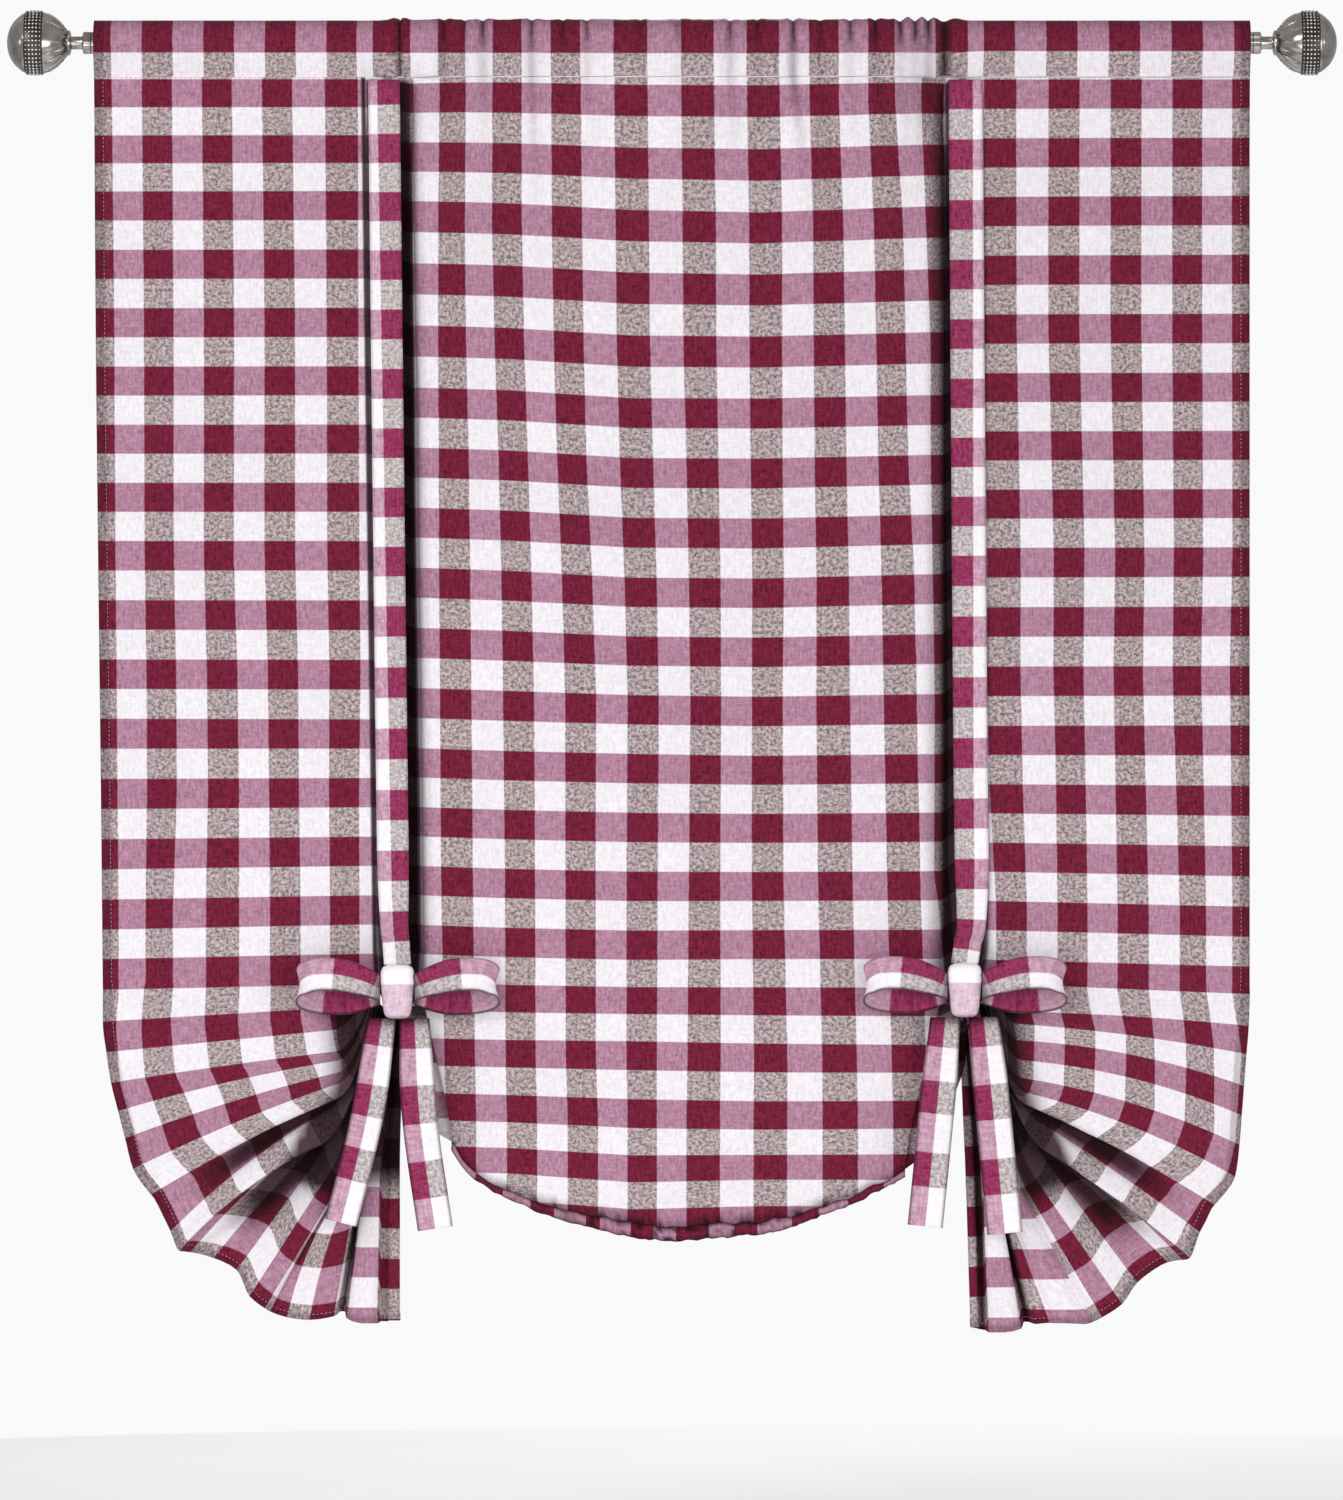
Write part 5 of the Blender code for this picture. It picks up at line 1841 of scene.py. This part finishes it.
@dataclass
class Finial:
    """The turned ornament on one end of the rod: neck, ribbed taper, dotted band and tip."""

    side: str
    facing: float
    start: float = 490.3
    neck: tuple[Point, ...] = (
        (0.0, 8.6), (0.8, 9.4), (2.6, 9.4), (3.2, 8.9), (3.8, 9.4), (9.4, 9.4), (10.2, 8.6),
        (10.6, 5.9), (11.6, 5.5), (19.4, 5.5), (20.3, 6.0),
    )
    taper: tuple[Point, ...] = (
        (20.6, 8.5), (21.4, 10.4), (22.6, 10.8), (23.2, 10.2), (24.0, 11.8), (27.0, 14.8),
        (30.0, 17.5), (33.0, 20.2), (36.0, 22.6), (40.0, 24.8), (43.7, 26.0),
    )
    band: tuple[Point, ...] = (
        (44.0, 26.2), (44.4, 26.5), (47.0, 26.7), (51.6, 26.9), (56.4, 26.5), (58.8, 26.0),
        (59.2, 25.7),
    )
    tip: tuple[Point, ...] = (
        (59.5, 25.3), (61.5, 24.6), (63.5, 23.2), (66.0, 21.0), (68.0, 19.2), (70.0, 16.6),
        (71.8, 13.6), (73.0, 10.8), (74.0, 7.6), (74.6, 4.0), (74.8, 1.2),
    )
    sides: int = 96
    ribs: int = 8
    dots: int = 44
    dot_rows: tuple[float, ...] = (45.6, 48.6, 51.6, 54.6, 57.6)
    dot_size: float = 1.2
    lobe_depth: float = 1.7

    def build(self, finishes: Finishes) -> None:
        """Build the four pieces of the finial."""
        neck = self._turn("neck", self.neck)
        taper = self._join(self._lobes(self._turn("taper", self.taper)), self._ribs())
        band = self._join(self._turn("band", self.band), self._dots())
        tip = self._turn("tip", self.tip)
        for piece, finish, slot in (
            (neck, Finish.FINIAL, "finial_nickel"), (taper, Finish.FINIAL, "finial_nickel"),
            (band, Finish.BAND, "finial_band"), (tip, Finish.FINIAL, "finial_nickel"),
        ):
            finishes.dress(piece, finish)
            settle(piece, slot, "finial_%s_%s" % (piece.name.split("_")[1], self.side))

    def _x(self, along: float) -> float:
        """X in metres at a distance along the finial."""
        return self.facing * (self.start + along) * MM

    def _turn(self, name: str, profile: Sequence[Point]) -> bpy.types.Object:
        """Turn a profile round the rod's axis, ring by ring."""
        deselect()
        first_along, first_radius = profile[0]
        bpy.ops.mesh.primitive_circle_add(
            vertices=self.sides, radius=first_radius * MM, fill_type="NGON",
            location=(self._x(first_along), 0, 0), rotation=(0, math.pi / 2.0, 0),
        )
        piece = bpy.context.object
        piece.name = "turned_%s_%s" % (name, self.side)
        bpy.ops.object.transform_apply(location=True, rotation=True, scale=True)
        bpy.ops.object.mode_set(mode="EDIT")
        bpy.ops.mesh.select_all(action="SELECT")
        for (near, small), (far, large) in zip(profile, profile[1:]):
            step = self.facing * (far - near) * MM
            bpy.ops.mesh.extrude_region_move(TRANSFORM_OT_translate={"value": (step, 0, 0)})
            grown, middle = (1.0, large / small, large / small), (self._x(far), 0, 0)
            bpy.ops.transform.resize(value=grown, center_override=middle)
        bpy.ops.mesh.select_all(action="SELECT")
        bpy.ops.mesh.normals_make_consistent(inside=False)
        bpy.ops.object.mode_set(mode="OBJECT")
        bpy.ops.object.shade_smooth_by_angle(angle=math.radians(28.0))
        return piece

    def _copies(self, models: Sequence[bpy.types.Object], count: int) -> bpy.types.Object:
        """Copy small pieces round the axis and join the copies."""
        points, faces = [], []
        for model in models:
            places = np.array([vertex.co[:] for vertex in model.data.vertices])
            for index in range(count):
                turn = math.tau * index / count
                c, s = math.cos(turn), math.sin(turn)
                base = len(points)
                faces += [[i + base for i in face.vertices] for face in model.data.polygons]
                points += (places @ np.array(((1, 0, 0), (0, c, s), (0, -s, c)))).tolist()
        first = models[0]
        mesh = bpy.data.meshes.new(first.name)
        mesh.from_pydata(points, [], faces)
        mesh.shade_smooth()
        for model in models[1:]:
            bpy.data.objects.remove(model, do_unlink=True)
        first.data = mesh
        return first

    def _lobes(self, taper: bpy.types.Object) -> bpy.types.Object:
        """Draw the taper in between its leaves."""
        for vertex in taper.data.vertices:
            # The leaves start above the collar and end at the band
            along = vertex.co.x * self.facing / MM - self.start
            turn = math.atan2(vertex.co.z, vertex.co.y)
            swell = abs(math.cos(turn * self.ribs / 2.0)) ** 0.6
            depth = self.lobe_depth * ease((along - 23.0) / 5.0) * ease((44.5 - along) / 8.0)
            radius = math.hypot(vertex.co.y, vertex.co.z)
            scale = 1.0 - depth * MM * (1.0 - swell) / max(radius, 1e-6)
            vertex.co.y *= scale
            vertex.co.z *= scale
        return taper

    def _ribs(self) -> bpy.types.Object:
        """The slim vein along each leaf of the taper."""
        deselect()
        # Slope of the taper's side, and the vein's middle on it: along, radius
        lean = math.atan2(24.8 - 13.0, 40.0 - 25.0)
        middle = (33.0, 20.3)
        bpy.ops.mesh.primitive_uv_sphere_add(
            segments=10, ring_count=8, radius=MM, location=(0, 0, 0)
        )
        rib = bpy.context.object
        rib.name = "rib_" + self.side
        rib.scale = (9.5, 1.1, 0.8)
        bpy.ops.object.transform_apply(location=False, rotation=False, scale=True)
        for vertex in rib.data.vertices:
            along, out = vertex.co.x / MM, vertex.co.z / MM
            x = along * math.cos(lean) - out * math.sin(lean)
            z = along * math.sin(lean) + out * math.cos(lean) - 0.012 * along * along
            vertex.co = (self._x(middle[0] + x), vertex.co.y, (middle[1] + z) * MM)
        return self._copies([rib], self.ribs)

    def _dots(self) -> bpy.types.Object:
        """The raised dots of the band."""
        rows = []
        for along in self.dot_rows:
            deselect()
            # The band has a slight belly
            radius = 26.0 + 0.8 * (1.0 - ((along - 51.6) / 7.6) ** 2)
            bpy.ops.mesh.primitive_uv_sphere_add(
                segments=6, ring_count=4, radius=self.dot_size * MM,
                location=(self._x(along), 0, radius * MM),
            )
            dot = bpy.context.object
            dot.name = "dot_%s_%d" % (self.side, len(rows))
            bpy.ops.object.transform_apply(location=True, rotation=True, scale=True)
            rows.append(dot)
        return self._copies(rows, self.dots)

    def _join(self, body: bpy.types.Object, detail: bpy.types.Object) -> bpy.types.Object:
        """Join a detail to the piece that carries it."""
        deselect()
        detail.select_set(True)
        body.select_set(True)
        bpy.context.view_layer.objects.active = body
        bpy.ops.object.join()
        bpy.ops.object.mode_set(mode="EDIT")
        bpy.ops.mesh.select_all(action="SELECT")
        bpy.ops.mesh.normals_make_consistent(inside=False)
        bpy.ops.object.mode_set(mode="OBJECT")
        return body


@dataclass
class Studio:
    """Camera, soft lights and a plain pale floor."""

    middle: Triple = (-0.4, 0.0, -601.0)
    distance: float = 8000.0
    frame_height: float = 1275.0
    floor_z: float = -1300.0

    def build(self) -> None:
        """Set up the view, the light and the floor."""
        self._camera()
        self._lights()
        self._surrounding()
        self._floor()

    def _camera(self) -> None:
        """Look straight at the shade from the room."""
        data = bpy.data.cameras.new("front_camera")
        data.sensor_fit = "VERTICAL"
        data.sensor_height = 24.0
        data.lens = data.sensor_height * self.distance / self.frame_height
        camera = bpy.data.objects.new("front_camera", data)
        camera.location = (self.middle[0] * MM, -self.distance * MM, self.middle[2] * MM)
        camera.rotation_euler = (math.pi / 2.0, 0.0, 0.0)
        bpy.context.scene.collection.objects.link(camera)
        bpy.context.scene.camera = camera

    def _lights(self) -> None:
        """Soft lights in front, beside, above and behind the shade, all aimed at its middle."""
        for name, place, wide, high, power in (
            ("key_light", (-1.9, -2.3, 1.0), 0.9, 0.9, 34.0),
            ("fill_light", (2.1, -2.6, -0.6), 1.8, 1.8, 30.0),
            ("low_light", (-0.9, -2.4, -1.1), 1.4, 1.0, 12.0),
            ("top_light", (0.3, -1.3, 2.2), 1.0, 1.0, 4.0),
            ("left_light", (-2.3, -0.7, 0.02), 0.2, 0.2, 1.2),
            ("right_light", (2.3, -0.7, 0.02), 0.2, 0.2, 1.2),
            ("strip_light", (0.0, -3.2, 0.0), 3.4, 0.24, 14.0),
            ("back_light", (0.6, 2.4, 0.8), 1.8, 1.8, 34.0),
        ):
            data = bpy.data.lights.new(name, "AREA")
            data.shape = "RECTANGLE"
            data.size, data.size_y = wide, high
            data.energy = power
            light = bpy.data.objects.new(name, data)
            light.location = place
            aim = Vector((0.0, 0.0, -0.55)) - Vector(place)
            light.rotation_euler = aim.to_track_quat("-Z", "Y").to_euler()
            light.visible_glossy = name != "back_light"
            bpy.context.scene.collection.objects.link(light)

    def _surrounding(self) -> None:
        """A bright even surrounding, which the metal reflects only in part."""
        world = bpy.data.worlds.new("surrounding")
        world.use_nodes = True
        nodes = Nodes(world.node_tree)
        around = nodes.tree.nodes["Background"]
        around.inputs["Color"].default_value = (0.95, 0.96, 0.98, 1.0)
        around.inputs["Strength"].default_value = 0.22
        backdrop = nodes.node("ShaderNodeBackground", None, {"Color": (0.95, 0.95, 0.955, 1.0)})
        glossy = nodes.node("ShaderNodeLightPath", output="Is Glossy Ray")
        to_camera = Flow(nodes, glossy.socket.node.outputs["Is Camera Ray"])
        either = nodes.node("ShaderNodeMixShader", None, {
            0: glossy * 0.3 + to_camera, 1: Flow(nodes, around.outputs[0]), 2: backdrop,
        })
        surface = nodes.tree.nodes["World Output"].inputs["Surface"]
        nodes.tree.links.new(either.socket, surface)
        bpy.context.scene.world = world
        bpy.context.scene.view_settings.view_transform = "Standard"

    def _floor(self) -> None:
        """A wide pale floor below the shade."""
        deselect()
        bpy.ops.mesh.primitive_circle_add(
            vertices=96, radius=1.7, fill_type="NGON", location=(0, 0, self.floor_z * MM)
        )
        floor = bpy.context.object
        floor.name = "studio_floor"
        graph = Graph("pale_floor")
        cloud = graph.grain(graph.object_place(), 3.0, 3.0)
        graph.set(
            Base_Color=graph.blend(rgb("F1F1F2"), rgb("F8F8F8"), cloud.contrast(1.6)),
            Roughness=0.75 + (cloud - 0.5) * 0.1,
            Emission_Color=rgb("F8F8F8"),
            Emission_Strength=0.3,
        )
        floor.data.materials.append(graph.material)


def main() -> None:
    """Build the looks of the shade and report each piece."""
    logging.basicConfig(level=logging.INFO, format="%(name)s %(message)s")
    finishes = Finishes()
    Studio().build()
    finishes.dress(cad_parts["rod"], Finish.ROD)
    ShadeCloth().build(finishes)
    left_rows = (
        (2, -28.1), (8, -176.4), (14, -327.8), (20, -478.7), (26, -634.9), (31, -763.9),
    )
    right_rows = (
        (2, -30.6), (6, -133.8), (12, -285.5), (18, -435.9), (24, -590.8), (31, -770.6),
    )
    Strap(
        "left", top_x=-244.8, bow_x=-236.3, width=27.0, column_edge=(-6.0, -0.9),
        row_heights=left_rows, slit_x=-221.5, first_column=1.5,
    ).build(finishes)
    Strap(
        "right", top_x=249.5, bow_x=254.8, width=29.0, column_edge=(6.4, 1.5),
        row_heights=right_rows, slit_x=236.5, first_column=0.5,
    ).build(finishes)
    Bow("left", (
        Tail("outer", (-245.6, -828.7), (-259.0, -915.0), (-280.3, -1001.5), 27.5,
             (23.4, 57.2, 84.1, 111.8, 139.6, 184.0)),
        Tail("inner", (-218.5, -828.7), (-213.5, -915.0), (-200.5, -1006.5), 30.0,
             (25.6, 57.2, 89.7, 121.3, 152.9, 190.0)),
    )).build(finishes)
    Bow("right", (
        Tail("inner", (232.0, -827.4), (223.5, -915.0), (214.5, -1004.5), 30.0,
             (26.0, 55.0, 82.4, 115.7, 144.8, 186.0)),
        Tail("outer", (264.2, -827.4), (273.0, -915.0), (282.0, -1010.5), 30.0,
             (25.1, 57.7, 87.6, 120.9, 150.8, 192.0)),
    )).build(finishes)
    for side, facing in (("left", -1.0), ("right", 1.0)):
        Finial(side, facing).build(finishes)
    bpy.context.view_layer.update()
    LOG.info("all pieces are in place")


if __name__ == "__main__":
    main()
